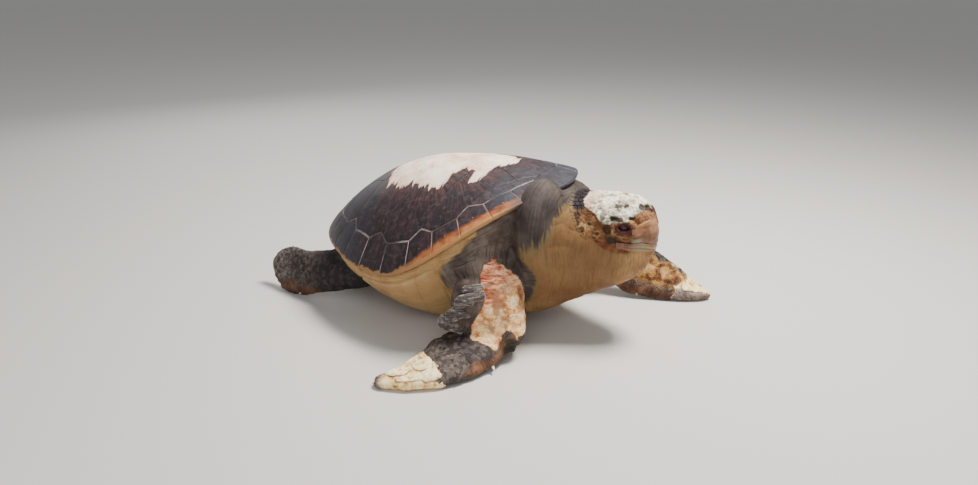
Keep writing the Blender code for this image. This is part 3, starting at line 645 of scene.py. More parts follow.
limbs = {  # x, y, z, half-chord, half-thickness, roll in degrees; from the body to the tip
    "armRight": [(0.19, -0.14, 0.26, 0.105, 0.08, 6), (0.235, -0.205, 0.23, 0.106, 0.078, 6),
                 (0.27, -0.248, 0.178, 0.1, 0.066, 6), (0.295, -0.27, 0.12, 0.09, 0.054, 4),
                 (0.306, -0.284, 0.068, 0.08, 0.044, 4), (0.304, -0.294, 0.03, 0.066, 0.034, 4)],
    "bladeRight": [(0.3, -0.258, 0.068, 0.07, 0.036, 10), (0.274, -0.322, 0.05, 0.086, 0.032, 16),
                   (0.246, -0.396, 0.04, 0.088, 0.028, 16), (0.214, -0.468, 0.031, 0.078, 0.022, 12),
                   (0.168, -0.522, 0.022, 0.058, 0.018, 6), (0.118, -0.558, 0.015, 0.04, 0.014, 0),
                   (0.088, -0.574, 0.011, 0.02, 0.009, 0)],
    "armLeft": [(0.195, 0.14, 0.25, 0.104, 0.08, -6), (0.255, 0.198, 0.222, 0.098, 0.074, -14),
                (0.32, 0.242, 0.186, 0.086, 0.06, -26), (0.385, 0.27, 0.156, 0.07, 0.046, -38),
                (0.44, 0.284, 0.13, 0.054, 0.032, -48)],
    "bladeLeft": [(0.39, 0.278, 0.156, 0.052, 0.036, -46), (0.46, 0.292, 0.12, 0.068, 0.032, -58),
                  (0.535, 0.302, 0.088, 0.086, 0.028, -62), (0.612, 0.316, 0.062, 0.074, 0.022, -56),
                  (0.688, 0.334, 0.038, 0.052, 0.018, -42), (0.745, 0.352, 0.02, 0.032, 0.014, -20),
                  (0.772, 0.362, 0.011, 0.012, 0.008, -8)],
    "hindRight": [(-0.2, -0.14, 0.125, 0.064, 0.055, 50), (-0.3, -0.18, 0.109, 0.067, 0.046, 62),
                  (-0.38, -0.188, 0.092, 0.07, 0.034, 68), (-0.45, -0.184, 0.074, 0.076, 0.024, 70),
                  (-0.52, -0.172, 0.072, 0.074, 0.018, 70), (-0.575, -0.16, 0.072, 0.048, 0.013, 70),
                  (-0.6, -0.154, 0.072, 0.018, 0.008, 70)],
    "hindLeft": [(-0.2, 0.14, 0.115, 0.064, 0.055, -30), (-0.3, 0.205, 0.08, 0.06, 0.044, -18),
                 (-0.375, 0.238, 0.052, 0.06, 0.03, -10), (-0.445, 0.262, 0.034, 0.074, 0.022, -6),
                 (-0.51, 0.28, 0.022, 0.072, 0.017, -3), (-0.56, 0.292, 0.016, 0.046, 0.012, 0),
                 (-0.582, 0.297, 0.013, 0.018, 0.008, 0)]}
belly = dict(flatFront=0.42, flatRear=0.26, plate=0.008)
skin = dict(coreVoxel=0.005, coreFill=55, voxel=0.0028, fill=55, coat=0.0008, triangles=190000)
swellings = [  # centre and radii; the first three belong to the neck, the others to the shoulders
    ((0.368, -0.122, 0.338), (0.072, 0.124, 0.144)), ((0.386, -0.085, 0.313), (0.057, 0.079, 0.093)),
    ((0.372, 0.1, 0.312), (0.08, 0.11, 0.108)), ((0.184, -0.262, 0.238), (0.078, 0.056, 0.088)),
    ((0.19, 0.258, 0.234), (0.076, 0.052, 0.08)), ((0.234, -0.331, 0.152), (0.046, 0.035, 0.086))]


def uprightRings(stations, count, sides):
    # Sections across X: width * cos**p across and half the height * sin**p up, where p is the squareness
    angle = fullTurn(sides)
    x, wide, top, bottom, square = (column[:, None] for column in through(stations, count).T)
    across = bent(np.cos(angle), square) * wide
    rise = bent(np.sin(angle), square) * (top - bottom) / 2
    return stacked(x, across, (top + bottom) / 2 + rise)


def limbFrames(stations, count):  # path, chord and thickness directions, and the two half sizes
    rows = through(stations, count)
    path = rows[:, :3]
    forward = unit(np.gradient(path, axis=0))
    level = unit(np.cross(forward, (0, 0, 1)))
    up = np.cross(level, forward)
    roll = np.radians(rows[:, 5])[:, None]
    chord, thick = level * np.cos(roll) + up * np.sin(roll), up * np.cos(roll) - level * np.sin(roll)
    return path, chord, thick, rows[:, 3], rows[:, 4]


def readAt(rows, at):  # the rows of a path at places counted in rows
    return np.stack([np.interp(at, np.arange(200), rows[:, k]) for k in range(3)], axis=-1)


def leanOf(name):  # how much fuller a front flipper is towards one edge
    return 0 if "hind" in name else 0.35 if "Left" in name else -0.35


def limbPoint(name, share, angle, stations=None):
    # path + chord * cos(angle) + thickness * sin(angle) * (1 + lean * cos(angle))
    path, chord, thick, wide, deep = limbFrames(stations or limbs[name], 200)
    at = np.clip(np.asarray(share, float), 0, 1) * 199
    across = np.cos(angle) * np.interp(at, np.arange(200), wide)
    body = np.sin(angle) * (1 + leanOf(name) * np.cos(angle)) * np.interp(at, np.arange(200), deep)
    return readAt(path, at) + readAt(chord, at) * across[..., None] + readAt(thick, at) * body[..., None]


def limbRings(name, count, sides):  # rings round a limb from body to tip, as points of limbPoint on a grid
    return limbPoint(name, *np.meshgrid(np.linspace(0, 1, count), fullTurn(sides), indexing="ij"))


def roundTheRim(steps):  # shares from front to rear down the left side and back up the right, and the sides
    left = np.arange(steps + 1) / steps
    s = np.concatenate([left, left[-2:0:-1]])
    return s, np.where(np.arange(len(s)) <= steps, 1, -1)


def underSide(s, side, q):
    # From the brim at q = 0 to the floor at q = 1: inward by cos**1.4 and down by sin**1.4 of a quarter turn
    heights = rimHeight(ring(s, 1.0, side)[:, 0] / shell["length"])
    rim = settled(np.column_stack([ring(s, 0.965, side), heights]))
    top = rim[:, 2] - shell["brim"] - 0.006
    flat = belly["flatFront"] + (belly["flatRear"] - belly["flatFront"]) * smooth((s - 0.2) / 0.6)
    turn = np.broadcast_to(q, s.shape) * math.pi / 2
    inward = flat + (1 - flat) * np.cos(turn) ** 1.4
    return np.column_stack([hub + (rim[:, :2] - hub) * inward[:, None], top * (1 - np.sin(turn) ** 1.4)])


def bridgeStart(s):  # where the plastron begins between brim and floor: further out along the bridge
    ends = 0.52 - 0.14 * smooth((s - 0.4) / 0.4)
    return ends + (0.12 - ends) * smooth((s - 0.28) / 0.12) * smooth((0.78 - s) / 0.16)


def gridNormals(rings):  # the cross product of the differences along and round a grid of rings
    grid = np.array(rings)
    return unit(np.cross(np.gradient(grid, axis=0), np.roll(grid, -1, axis=1) - np.roll(grid, 1, axis=1)))


def trunkRings():
    # Rings under the shell from the middle out to the rim, then down the underside, sunk where the plastron
    # is
    s, side = roundTheRim(60)
    rings = []
    for reach in (0.1, 0.25, 0.4, 0.55, 0.7, 0.8, 0.88, 0.94, 0.965):
        plan = ring(s, reach, side)
        rings.append(shellPoints(plan, scuteDepth(plan) + 0.003))
    shares = np.linspace(0, 1, 24)
    under = np.array([underSide(s, side, q) for q in shares])
    inward = gridNormals(under)
    inward[-1] = (0, 0, -1)
    covered = smooth((shares[:, None] - bridgeStart(s)[None]) / 0.05 + 0.5)
    under = under - inward * (covered * (belly["plate"] + 0.0012))[..., None]
    return np.array([*rings, *under, under[-1] * (0.3, 0.3, 1)])


def swellingRings(centre, radii):  # an ellipsoid: centre + radii * (cos t, sin t cos a, sin t sin a)
    t = np.linspace(0.03, math.pi - 0.03, 24)[:, None]
    a = fullTurn(36)[None]
    return np.array(centre) + stacked(np.cos(t), np.sin(t) * np.cos(a), np.sin(t) * np.sin(a)) * radii


def joinedBodies(name, bodies, core=None):  # bodies as rings, and a mesh of quads if one is given
    points, quads, tris, count = [], [], [], 0
    for rings in bodies:
        rows, columns = rings.shape[:2]
        body = np.concatenate([rings.reshape(-1, 3), [rings[0].mean(0)], [rings[-1].mean(0)]])
        four, three = ringsToFaces(rows, columns)
        if volumeOf(body, four, three) < 0:
            four, three = four[:, ::-1], three[:, ::-1]
        points.append(body)
        quads.append(four + count)
        tris.append(three + count)
        count += len(body)
    if core:
        points.append(pointsOf(core))
        quads.append(numbersOf(core.loops, "vertex_index", 1, np.int32).reshape(-1, 4) + count)
    return meshFrom(name, np.concatenate(points), np.concatenate(quads), np.concatenate(tris))


def modified(mesh, kind, **settings):  # the mesh that one modifier makes of this one
    obj = inScene(mesh.name, mesh)
    modifier = obj.modifiers.new(kind.title(), kind)
    for name, value in settings.items():
        if name == "weights":
            group = obj.vertex_groups.new(name="weights")
            levels = np.round(value * 8).astype(int)
            for level in range(1, 9):
                group.add(np.flatnonzero(levels == level).tolist(), level / 8, "REPLACE")
            modifier.vertex_group = "weights"
        else:
            setattr(modifier, name, value)
    graph = bpy.context.evaluated_depsgraph_get()
    result = bpy.data.meshes.new_from_object(obj.evaluated_get(graph))
    bpy.data.objects.remove(obj)
    return result


def numbersOf(items, what, wide, kind=np.float32):  # a row of numbers for each item of a mesh
    values = np.empty(len(items) * wide, kind)
    items.foreach_get(what, values)
    return values.reshape(-1, wide)


def pointsOf(mesh, what="co"):
    return numbersOf(mesh.vertices, what, 3).astype(float)


def moved(mesh, points):
    mesh.vertices.foreach_set("co", np.asarray(points, np.float32).ravel())
    mesh.update()
    return mesh


def neighbourMean(mesh):  # a function that gives each point the mean of the values at the ends of its edges
    a, b = numbersOf(mesh.edges, "vertices", 2, np.int32).T
    size = len(mesh.vertices)
    count = np.maximum(np.bincount(a, minlength=size) + np.bincount(b, minlength=size), 1)

    def mean(values):
        columns = [np.bincount(a, row[b], size) + np.bincount(b, row[a], size) for row in values.T]
        return np.stack(columns, axis=1) / count[:, None]
    return mean


def filled(mesh, rounds):
    # Each round moves a point towards the mean of its neighbours where that is outwards, so creases
    # between joined bodies fill to soft folds and nothing shrinks
    mean, points = neighbourMean(mesh), pointsOf(mesh)
    for k in range(rounds):
        if k % 10 == 0:
            moved(mesh, points)
            normals = pointsOf(mesh, "normal")
        shift = mean(points) - points
        outward = np.sum(shift * normals, axis=1, keepdims=True)
        points = points + shift * 0.12 + normals * np.clip(outward, 0, None) * 0.75
        points = points - normals * np.clip(outward, None, 0) * 0.1
    return moved(mesh, points)


def finer(mesh, chosen):  # splits the chosen faces in four
    bm = bmesh.new()
    bm.from_mesh(mesh)
    bm.faces.ensure_lookup_table()
    edges = {edge for k in np.flatnonzero(chosen) for edge in bm.faces[k].edges}
    bmesh.ops.subdivide_edges(bm, edges=list(edges), cuts=1, use_grid_fill=True)
    bm.to_mesh(mesh)
    bm.free()
    return mesh


def limbPlace(name, points):
    # Where points lie on a limb: share along it, distance along it in metres, the chord and thickness
    # coordinates as shares of the half sizes, and how far out that makes them (1 on the surface)
    path, chord, thick, wide, deep = limbFrames(limbs[name], 120)
    forward = np.cross(thick, chord)
    length = distanceAlong(path)
    share, across, body = np.full(len(points), -1.0), np.full(len(points), 9.0), np.full(len(points), 9.0)
    near = np.all((points > path.min(0) - 0.13) & (points < path.max(0) + 0.13), axis=1)
    some = points[near]
    best, found = np.full(len(some), 1e9), np.zeros(len(some), int)
    for k in range(120):
        offset = some - path[k]
        away = np.abs(offset @ forward[k]) + 0.3 * np.linalg.norm(offset, axis=1)
        closer = away < best
        best[closer], found[closer] = away[closer], k
    offset = some - path[found]
    share[near] = found / 119
    across[near] = np.sum(offset * chord[found], axis=1) / wide[found]
    body[near] = np.sum(offset * thick[found], axis=1) / deep[found]
    past = np.sum(offset * forward[found], axis=1)
    out = np.hypot(across, body / (1 + leanOf(name) * np.clip(across, -1, 1)))
    out[near] += np.abs(past) / wide[found]
    along = np.interp(share, np.linspace(0, 1, 120), length)
    return dict(share=share, along=along, across=across, body=body, out=out)


# Where each colour and fold lies: functions of the place on the body, shared by the skin and its scales

# Metres along the right arm, and degrees round it
peelOutline = np.array([(0.1, 92), (0.134, 58), (0.17, 56), (0.212, 30), (0.232, 8), (0.262, 18), (0.285, 40),
                        (0.3, 75), (0.29, 98), (0.27, 104), (0.284, 125), (0.288, 145), (0.27, 170),
                        (0.205, 166), (0.158, 136), (0.13, 108)])
eyeAt = dict(spot=(0.5885, 0.0612, 0.3585), forward=(0.93, -0.37), wide=0.0165, high=0.0078)
# x, y, z, size and depth: nostrils and pits on the dried top of the head, and the torn elbow. All are painted
# dark: as shade in the pits and the elbow, and as a painted shadow in the shallow dents along the crust's
# lower edge
holes = np.array([
    (0.571, -0.05, 0.42, 0.0105, 0.008), (0.587, -0.047, 0.419, 0.0085, 0.007),
    (0.64, -0.016, 0.407, 0.0085, 0.006), (0.627, -0.028, 0.411, 0.008, 0.005),
    (0.651, 0.006, 0.398, 0.0075, 0.004), (0.366, -0.316, 0.047, 0.017, 0.014),
    (0.655, -0.012, 0.399, 0.0065, 0.003), (0.562, -0.08, 0.383, 0.01, 0.003),
    (0.578, -0.076, 0.38, 0.0095, 0.003), (0.612, -0.06, 0.386, 0.007, 0.002)])
# x, z and radius of the largest dark spots
cheekSpots = np.array([
    (0.551, 0.353, 0.0125), (0.516, 0.319, 0.011), (0.481, 0.347, 0.0085), (0.462, 0.38, 0.0115),
    (0.465, 0.362, 0.009), (0.524, 0.338, 0.006), (0.5, 0.362, 0.006)])
mouth = dict(corner=0.566, height=0.3175, at=0.575, tilt=math.radians(5))


def mouthHeight(x):  # a straight line that falls towards the snout
    return mouth["height"] - (x - mouth["at"]) * math.tan(mouth["tilt"])


def stationAt(stations, x):  # the numbers of the stations, read between them at x
    rows = through(stations, 200)
    return [np.interp(x, rows[:, 0], rows[:, k]) for k in range(1, 5)]


def headOut(points):  # 1 on the head's surface: |y / width|**(2/p) + |rise / half height|**(2/p)
    wide, top, bottom, square = stationAt(headStations, points[:, 0])
    rise = np.abs(points[:, 2] - (top + bottom) / 2) / ((top - bottom) / 2)
    return (np.abs(points[:, 1]) / wide) ** (2 / square) + rise ** (2 / square)


def eyePlace(points):  # along the lids, up, and out from the head, for the eye on the point's own side
    side = np.where(points[:, 1] < 0, -1.0, 1.0)
    offset = points - np.column_stack([np.full(len(points), eyeAt["spot"][0]), side * eyeAt["spot"][1],
                                       np.full(len(points), eyeAt["spot"][2])])
    fx, fy = eyeAt["forward"]
    along = offset[:, 0] * fx + offset[:, 1] * side * fy
    out = -offset[:, 0] * fy + offset[:, 1] * side * fx
    return along, offset[:, 2] + along * 0.08, out


def lidsOut(points):  # 1 on the edge of the lids
    along, up, out = eyePlace(points)
    return np.where(np.abs(out) < 0.05, np.hypot(along / eyeAt["wide"], up / eyeAt["high"]), 9.0)


def markings(points):
    # Soft numbers from 0 to 1, and distances in metres, for each point
    x, y, z = points.T
    places = {name: limbPlace(name, points) for name in limbs}
    on = {name: smooth((1.55 - at["out"]) / 0.4) * (at["share"] > 0.0) for name, at in places.items()}
    wide = rough(points, 0.09, 11, 3)
    small = rough(points, 0.028, 12, 3)
    aside = np.abs(y)
    headLine = x - 0.429 - np.clip(0.392 - z, -0.02, 0.2) * 0.85
    onHead = smooth((np.where(z > 0.33, 1.55, 1.26) - headOut(points)) / 0.06)
    headed = smooth(headLine / 0.006 + 0.5) * smooth((z - mouthHeight(x)) / 0.004 + 0.5) * (x > 0.42) * onHead
    arms = ("armRight", "armLeft")
    armShare = {name: smooth((places[name]["share"] - 0.18) / 0.1) * on[name] for name in arms}
    hind = np.maximum(on["hindRight"], on["hindLeft"])
    degrees = {name: np.degrees(np.arctan2(at["body"], at["across"])) for name, at in places.items()}
    # light underside: below a line that climbs towards the head, drawn out in drips; the shoulders are dark
    drips = rough(points * (1, 1, 0.1), 0.008, 14, 2) * 0.034 + wide * 0.016
    line = np.interp(x, [0.25, 0.33, 0.348, 0.385, 0.415, 0.426, 0.44],
                     [0.235, 0.262, 0.298, 0.318, 0.333, 0.375, 0.42])
    pale = np.where(x < 0.24, 1.0, smooth((line + drips - z) / 0.12 + 0.5))
    rise = np.clip(z - 0.24, 0, 1)
    shoulder = smooth((x - 0.145 - 0.85 * rise + 0.008 * small) / 0.016 + 0.5)
    shoulder = shoulder * smooth((0.335 - x) / 0.02 + 0.5)
    shoulder = shoulder * smooth((z - 0.15 + 0.02 * wide) / 0.03) * (aside > 0.1)
    middle, radii = swellings[-1]
    ledge = smooth((1.42 - np.linalg.norm((points - middle) / radii, axis=1)) / 0.2)
    pale = pale * (1 - np.maximum(shoulder, ledge))
    for name in arms:
        under = smooth(0.5 - (places[name]["body"] + 0.45 + 0.2 * wide) / 0.3)
        pale = pale * (1 - armShare[name]) + under * armShare[name]
    for name in ("bladeRight", "bladeLeft"):
        under = smooth(0.5 - (places[name]["body"] + 0.5 + 0.2 * wide) / 0.3)
        pale = pale * (1 - on[name]) + under * on[name]
    pale = pale * (1 - smooth((-0.4 - x) / 0.05) * smooth((z - 0.055 + 0.02 * small) / 0.02))
    pale = pale * (1 - hind) + smooth(0.5 - (z - 0.028 - 0.02 * wide) / 0.02) * hind * 0.8
    # skin lost from the right arm, and in a strip along the rear edge of its blade
    arm, blade, left = places["armRight"], places["bladeRight"], places["bladeLeft"]
    turned, turnedLeft = degrees["bladeRight"], degrees["bladeLeft"]
    angle = degrees["armRight"] % 360
    flat = np.column_stack([arm["along"], angle * 0.00145])
    peel = outlineDistance(flat, peelOutline * (1, 0.00145))[0] + 0.0045 * small
    onArm = (arm["out"] < np.where(arm["share"] < 0.35, 1.32, 1.22)) & (arm["share"] > 0.1) & (angle < 230)
    peel = np.maximum(np.where(onArm, peel, 0.08), (ledge - 0.97) * 0.2)
    shelf = 0.078 + 0.6 * np.clip(z - 0.11, 0, 1) + 0.006 * small - 0.9 * x - 0.44 * y
    peel = np.where((ledge > 0.3) & (z < 0.19), np.minimum(peel, shelf), peel)
    elbow = np.hypot(blade["along"] - 0.062, np.radians(turned - 100) * 0.06) - 0.038 + 0.005 * small
    strip = np.hypot((blade["along"] - 0.125) / 4, np.radians(turned - 12) * 0.06)
    strip = strip - 0.011 + 0.003 * small
    onBlade = (blade["out"] < 1.4) & (blade["share"] > 0.02)
    peel = np.minimum(peel, np.where(onBlade, np.minimum(elbow, strip), 0.08))
    raw = smooth((0.215 - arm["along"] + 0.03 * wide) / 0.05) * smooth((150 - angle) / 30)
    raw = np.maximum(raw, smooth((0.4 - blade["share"]) / 0.02) * smooth((40 - turned) / 10) * onBlade)
    # bare bone and flaking at the tips of the flippers
    jagged = 0.022 * small + 0.01 * rough(points, 0.011, 17, 2)
    tip = smooth((blade["along"] - 0.235 + jagged) / 0.008) * (blade["out"] < 1.6)
    charred = smooth((blade["along"] - 0.372 + 0.012 * small) / 0.012) * tip
    leftTip = smooth((left["along"] - 0.3 + 0.03 * small - 0.01 * left["across"]) / 0.012)
    leftTip = leftTip * (left["out"] < 1.6)
    tan = on["bladeLeft"] * smooth((turnedLeft - 60) / 16)
    tan = tan * smooth((left["across"] + 0.8 + 0.15 * small) / 0.12)
    tan = np.maximum(tan, on["armLeft"] * smooth((places["armLeft"]["share"] - 0.5) / 0.2) * 0.7)
    brown = on["bladeLeft"] * smooth((68 - turnedLeft + 10 * small) / 14)
    burnt = onBlade * smooth((turned - 128 + 12 * small) / 12) * smooth((0.46 - blade["share"]) / 0.1)
    brown = np.maximum(brown, burnt)
    brown = np.maximum(brown, hind * smooth((0.05 - z + 0.01 * small) / 0.015))
    # head: bleached top, dark plates behind, tan cheek with dark spots
    crustLine = np.interp(
        x, [0.455, 0.472, 0.494, 0.513, 0.523, 0.532, 0.555, 0.575, 0.6, 0.612, 0.622, 0.646],
        [0.418, 0.407, 0.397, 0.391, 0.379, 0.37, 0.367, 0.3705, 0.374, 0.385, 0.399, 0.405])
    crust = smooth((z - crustLine + 0.003 * small) / 0.005 + 0.5)
    crust = crust * smooth((x - 0.463 + 0.005 * small) / 0.006)
    crust = crust * smooth((aside + 0.02) / 0.01) * (z > 0.34)
    back = headed * (1 - crust) * smooth((z - 0.393 - 0.006 * small) / 0.006) * smooth((0.505 - x) / 0.01)
    cheek = headed * (1 - crust) * (1 - back)
    away = np.hypot(x[:, None] - cheekSpots[:, 0], z[:, None] - cheekSpots[:, 1]) / cheekSpots[:, 2]
    near = 1.05 - away.min(axis=1) + 0.3 * small + 0.15 * rough(points, 0.009, 15, 2)
    spot = cheek * smooth(near / 0.35)
    lids = lidsOut(points)
    along, up, out = eyePlace(points)
    sore = smooth((1.55 - np.hypot((along - 0.002) / 0.0205, (up + 0.003) / 0.0125) + 0.12 * small) / 0.35)
    sore = sore * (np.abs(out) < 0.05) * (x > 0.52) * (1 - 0.85 * crust)
    snout = smooth((x - 0.612 + 0.1 * (z - 0.37) + 0.006 * small) / 0.012)
    snout = snout * (1 - crust) * smooth((z - 0.28) / 0.02)
    gum = smooth((mouthHeight(x) - z) / 0.002) * smooth((z - mouthHeight(x) + 0.036 - 0.012 * small) / 0.014)
    gum = gum * smooth((x - 0.5 + 0.01 * small) / 0.02) * smooth((0.628 - x + 0.02 * small) / 0.02) * onHead
    corner = bell(x, mouth["corner"], 0.02) * bell(z, 0.322, 0.012) * (aside > 0.04)
    gaps = (points[:, None] - holes[:, :3]) / (1.25, 1.25, 0.72) / holes[:, 3, None]
    uneven = 1 + 0.45 * rough(points, 0.01, 16, 2)
    pits = np.exp(-(gaps**2).sum(-1) * uneven[:, None])
    # the dark of a deep pit is painted shade, and reaches over its floor
    floors = np.where(holes[:, 4:] > 0.0035, (1, 1, 0.12), (1, 1, 1))  # a deep one is still dark on its floor
    sunken = np.exp(-(gaps**2 * floors).sum(-1) * uneven[:, None])
    # creases run round the neck, along the belt under the rim, down the arms and round the other limbs
    forward = x + 0.3 * np.clip(0.2 - z, 0, 1) + 0.006 * wide
    neckward = np.column_stack([forward, np.arctan2(z - 0.24, y) * 0.15])
    beltward = np.column_stack([z - 0.5 * np.clip(x - 0.05, 0, 1) + 0.01 * wide, x * 1.0])
    share = smooth((0.325 - x) / 0.03 + 0.5)[:, None]
    fold = neckward * (1 - share) + beltward * share
    for name, place in places.items():
        turn = np.radians(degrees[name]) * 0.07
        runs = place["along"] + 0.5 * len(name) + 0.004 * wide
        local = [turn + 0.25 * runs, runs] if "arm" in name else [runs, turn]
        weight = np.round(on[name] * (place["share"] > 0.12))[:, None]
        fold = fold * (1 - weight) + np.column_stack(local) * weight
    scaly = np.maximum.reduce([on["bladeRight"], on["bladeLeft"], hind * smooth((0.36 + x) / -0.05)])
    relief = np.where(headed + gum + crust > 0.5, rough(points, 0.017, 26, 3), rough(points, 0.034, 27, 4))
    grey = np.maximum(charred, leftTip * smooth((74 - turnedLeft) / 8))
    # dark: painted shade in the pits, painted shadow along the crust's lower edge, and the dark corner of the
    # mouth
    dark = np.maximum(sunken.max(axis=1), corner * 0.8)
    fold = np.column_stack([fold, np.zeros(len(x))])
    return dict(pale=pale, peel=peel, raw=raw, tip=np.maximum(tip, leftTip), tan=tan, brown=brown, grey=grey,
                crust=crust, back=back, cheek=cheek, spot=spot, sore=sore, snout=snout, gum=gum, scaly=scaly,
                dark=dark, relief=relief, hind=hind, fold=fold, pits=pits, places=places, on=on, wide=wide,
                small=small, headed=headed, lids=lids)


def ridged(t, wave):  # broad ridges with narrow valleys: -1 in a valley
    return np.abs(np.sin(math.pi * t / wave)) ** 0.6 - 1


def foldedPoints(mesh, m):
    # Each point moved along its normal by a height: ridges across the folds, one set for each part of the
    # body, then the peeled patch, tips, crust, pits and spots, and last the eye and the mouth
    points, normals = pointsOf(mesh), pointsOf(mesh, "normal")
    x, y, z = points.T
    t = m["fold"][:, 0]
    wander = rough(points, 0.035, 21, 2)
    headish = np.maximum(m["headed"], smooth((x - 0.585) / 0.03) * (z > 0.2))
    limbed = np.maximum.reduce(list(m["on"].values()))
    neck = smooth((x - 0.31) / 0.03) * (1 - headish) * (1 - limbed)
    intact = smooth(m["peel"] / 0.004)
    calm = 1 - 0.55 * m["pale"]
    large = 0.0026 * ridged(t + 0.006 * wander, 0.034) * (0.5 + 0.5 * m["wide"])
    fine = 0.0014 * ridged(t + 0.004 * wander, 0.0105) * (0.7 + 0.5 * wander)
    height = neck * intact * calm * (large + fine)
    height += neck * 0.0022 * ridged(0.55 * x + z + 0.01 * wander, 0.055) * m["pale"]
    arms = np.maximum(m["on"]["armRight"], m["on"]["armLeft"])
    large = 0.0012 * ridged(m["fold"][:, 1] + 0.01 * wander, 0.031)
    height += arms * intact * (0.001 * ridged(t + 0.004 * wander, 0.01) + large)
    hind = m["hind"]
    large = 0.0022 * ridged(t + 0.006 * wander, 0.022) * m["brown"]
    height += hind * (large + 0.0016 * rough(points, 0.024, 23, 3))
    height += hind * smooth((-0.46 - x) / 0.05) * 0.004 * rough(points, 0.03, 29, 2)
    belt = smooth((0.34 - x) / 0.04) * (1 - limbed)
    large = 0.002 * ridged(t + 0.006 * wander, 0.04) * m["pale"] * smooth((np.abs(y) - 0.1) / 0.05)
    height += belt * (large + 0.0013 * ridged(t + 0.003 * wander, 0.0095) * (1 - m["pale"]))
    for name in ("bladeRight", "bladeLeft"):
        place = m["places"][name]
        ribs = m["on"][name] * 0.0016 * np.cos(place["across"] * 9 + 2 * wander)
        height += ribs * smooth((place["share"] - 0.2) / 0.2)
        height += m["on"][name] * 0.0022 * m["relief"] * (1 - 0.5 * m["tip"])
    # peeled patch: sunk, with a curled lip, and lumpy where the flesh has dried
    inside = smooth(0.5 - m["peel"] / 0.003)
    height += -0.0026 * inside + 0.0022 * bell(m["peel"], 0.0025, 0.002)
    height += inside * (0.0036 * m["relief"] + 0.001 * rough(points, 0.009, 25, 2))
    # dried and bleached top of the head
    height += m["crust"] * (0.0034 * m["relief"] + 0.0004 + 0.0016 * rough(points, 0.0065, 28, 2))
    height -= m["pits"] @ holes[:, 4]
    height += (m["snout"] + m["gum"]) * 0.001 * m["relief"] + m["cheek"] * 0.0006 * m["relief"]
    points = points + normals * (height - skin["coat"])[:, None]
    # eye: the socket pushed in behind the ball, lids raised round it, a brow above and a bag below
    along, up, out = eyePlace(points)
    e = m["lids"]
    side = np.where(y < 0, -1.0, 1.0)
    fx, fy = eyeAt["forward"]
    outward = np.column_stack([np.full(len(x), -fy), side * fx, np.zeros(len(x))])
    around = np.hypot(along / 0.0185, up / 0.013)
    face = (x > 0.53) & (np.abs(out) < 0.05)
    push = -0.022 * smooth((1.0 - e) / 0.3) + 0.0022 * bell(e, 1.16, 0.14)
    push += 0.0042 * bell(around, 1.55, 0.32) * smooth(up / 0.008)
    push -= 0.0024 * bell(around, 2.25, 0.18) * smooth(up / 0.006)
    push -= 0.0022 * bell(around, 1.65, 0.16) * smooth(-up / 0.006)
    push += 0.002 * bell(around, 2.05, 0.2) * smooth(-up / 0.006)
    points = points + outward * (push * face)[:, None]
    # mouth: a groove in the plane of the mouth
    away = z - mouthHeight(x)
    groove = bell(away, 0, 0.003) * smooth((x - mouth["corner"]) / 0.01)
    points = points - normals * (groove * 0.0045)[:, None]
    points[:, 2] = np.maximum(points[:, 2], 0.0006)
    return points


def underShell(points):  # keeps the skin below the plates, but for the fold of the neck that lies on them
    local = unsettled(points)
    reach = reachOf(local[:, :2])
    inside = reach < 0.985
    plan = local[inside, :2]
    top = shellPoints(plan, scuteDepth(plan) + 0.0028)
    over = (points[inside, 2] > top[:, 2]) & (points[inside, 2] < shellPoints(plan, 0)[:, 2] + 0.03)
    foldEdge = np.interp(plan[:, 1], [-0.3, -0.24, -0.196, -0.139, -0.047, -0.012, 0.019, 0.05],
                         [0.36, 0.338, 0.351, 0.364, 0.353, 0.367, 0.388, 0.45])
    fold = plan[:, 0] > foldEdge - 0.004 + 0.003 * grain(points[inside], 0.02, 31)
    lowered = points[inside]
    lowered[over & ~fold, 2] = top[over & ~fold, 2]
    points[inside] = lowered
    return points


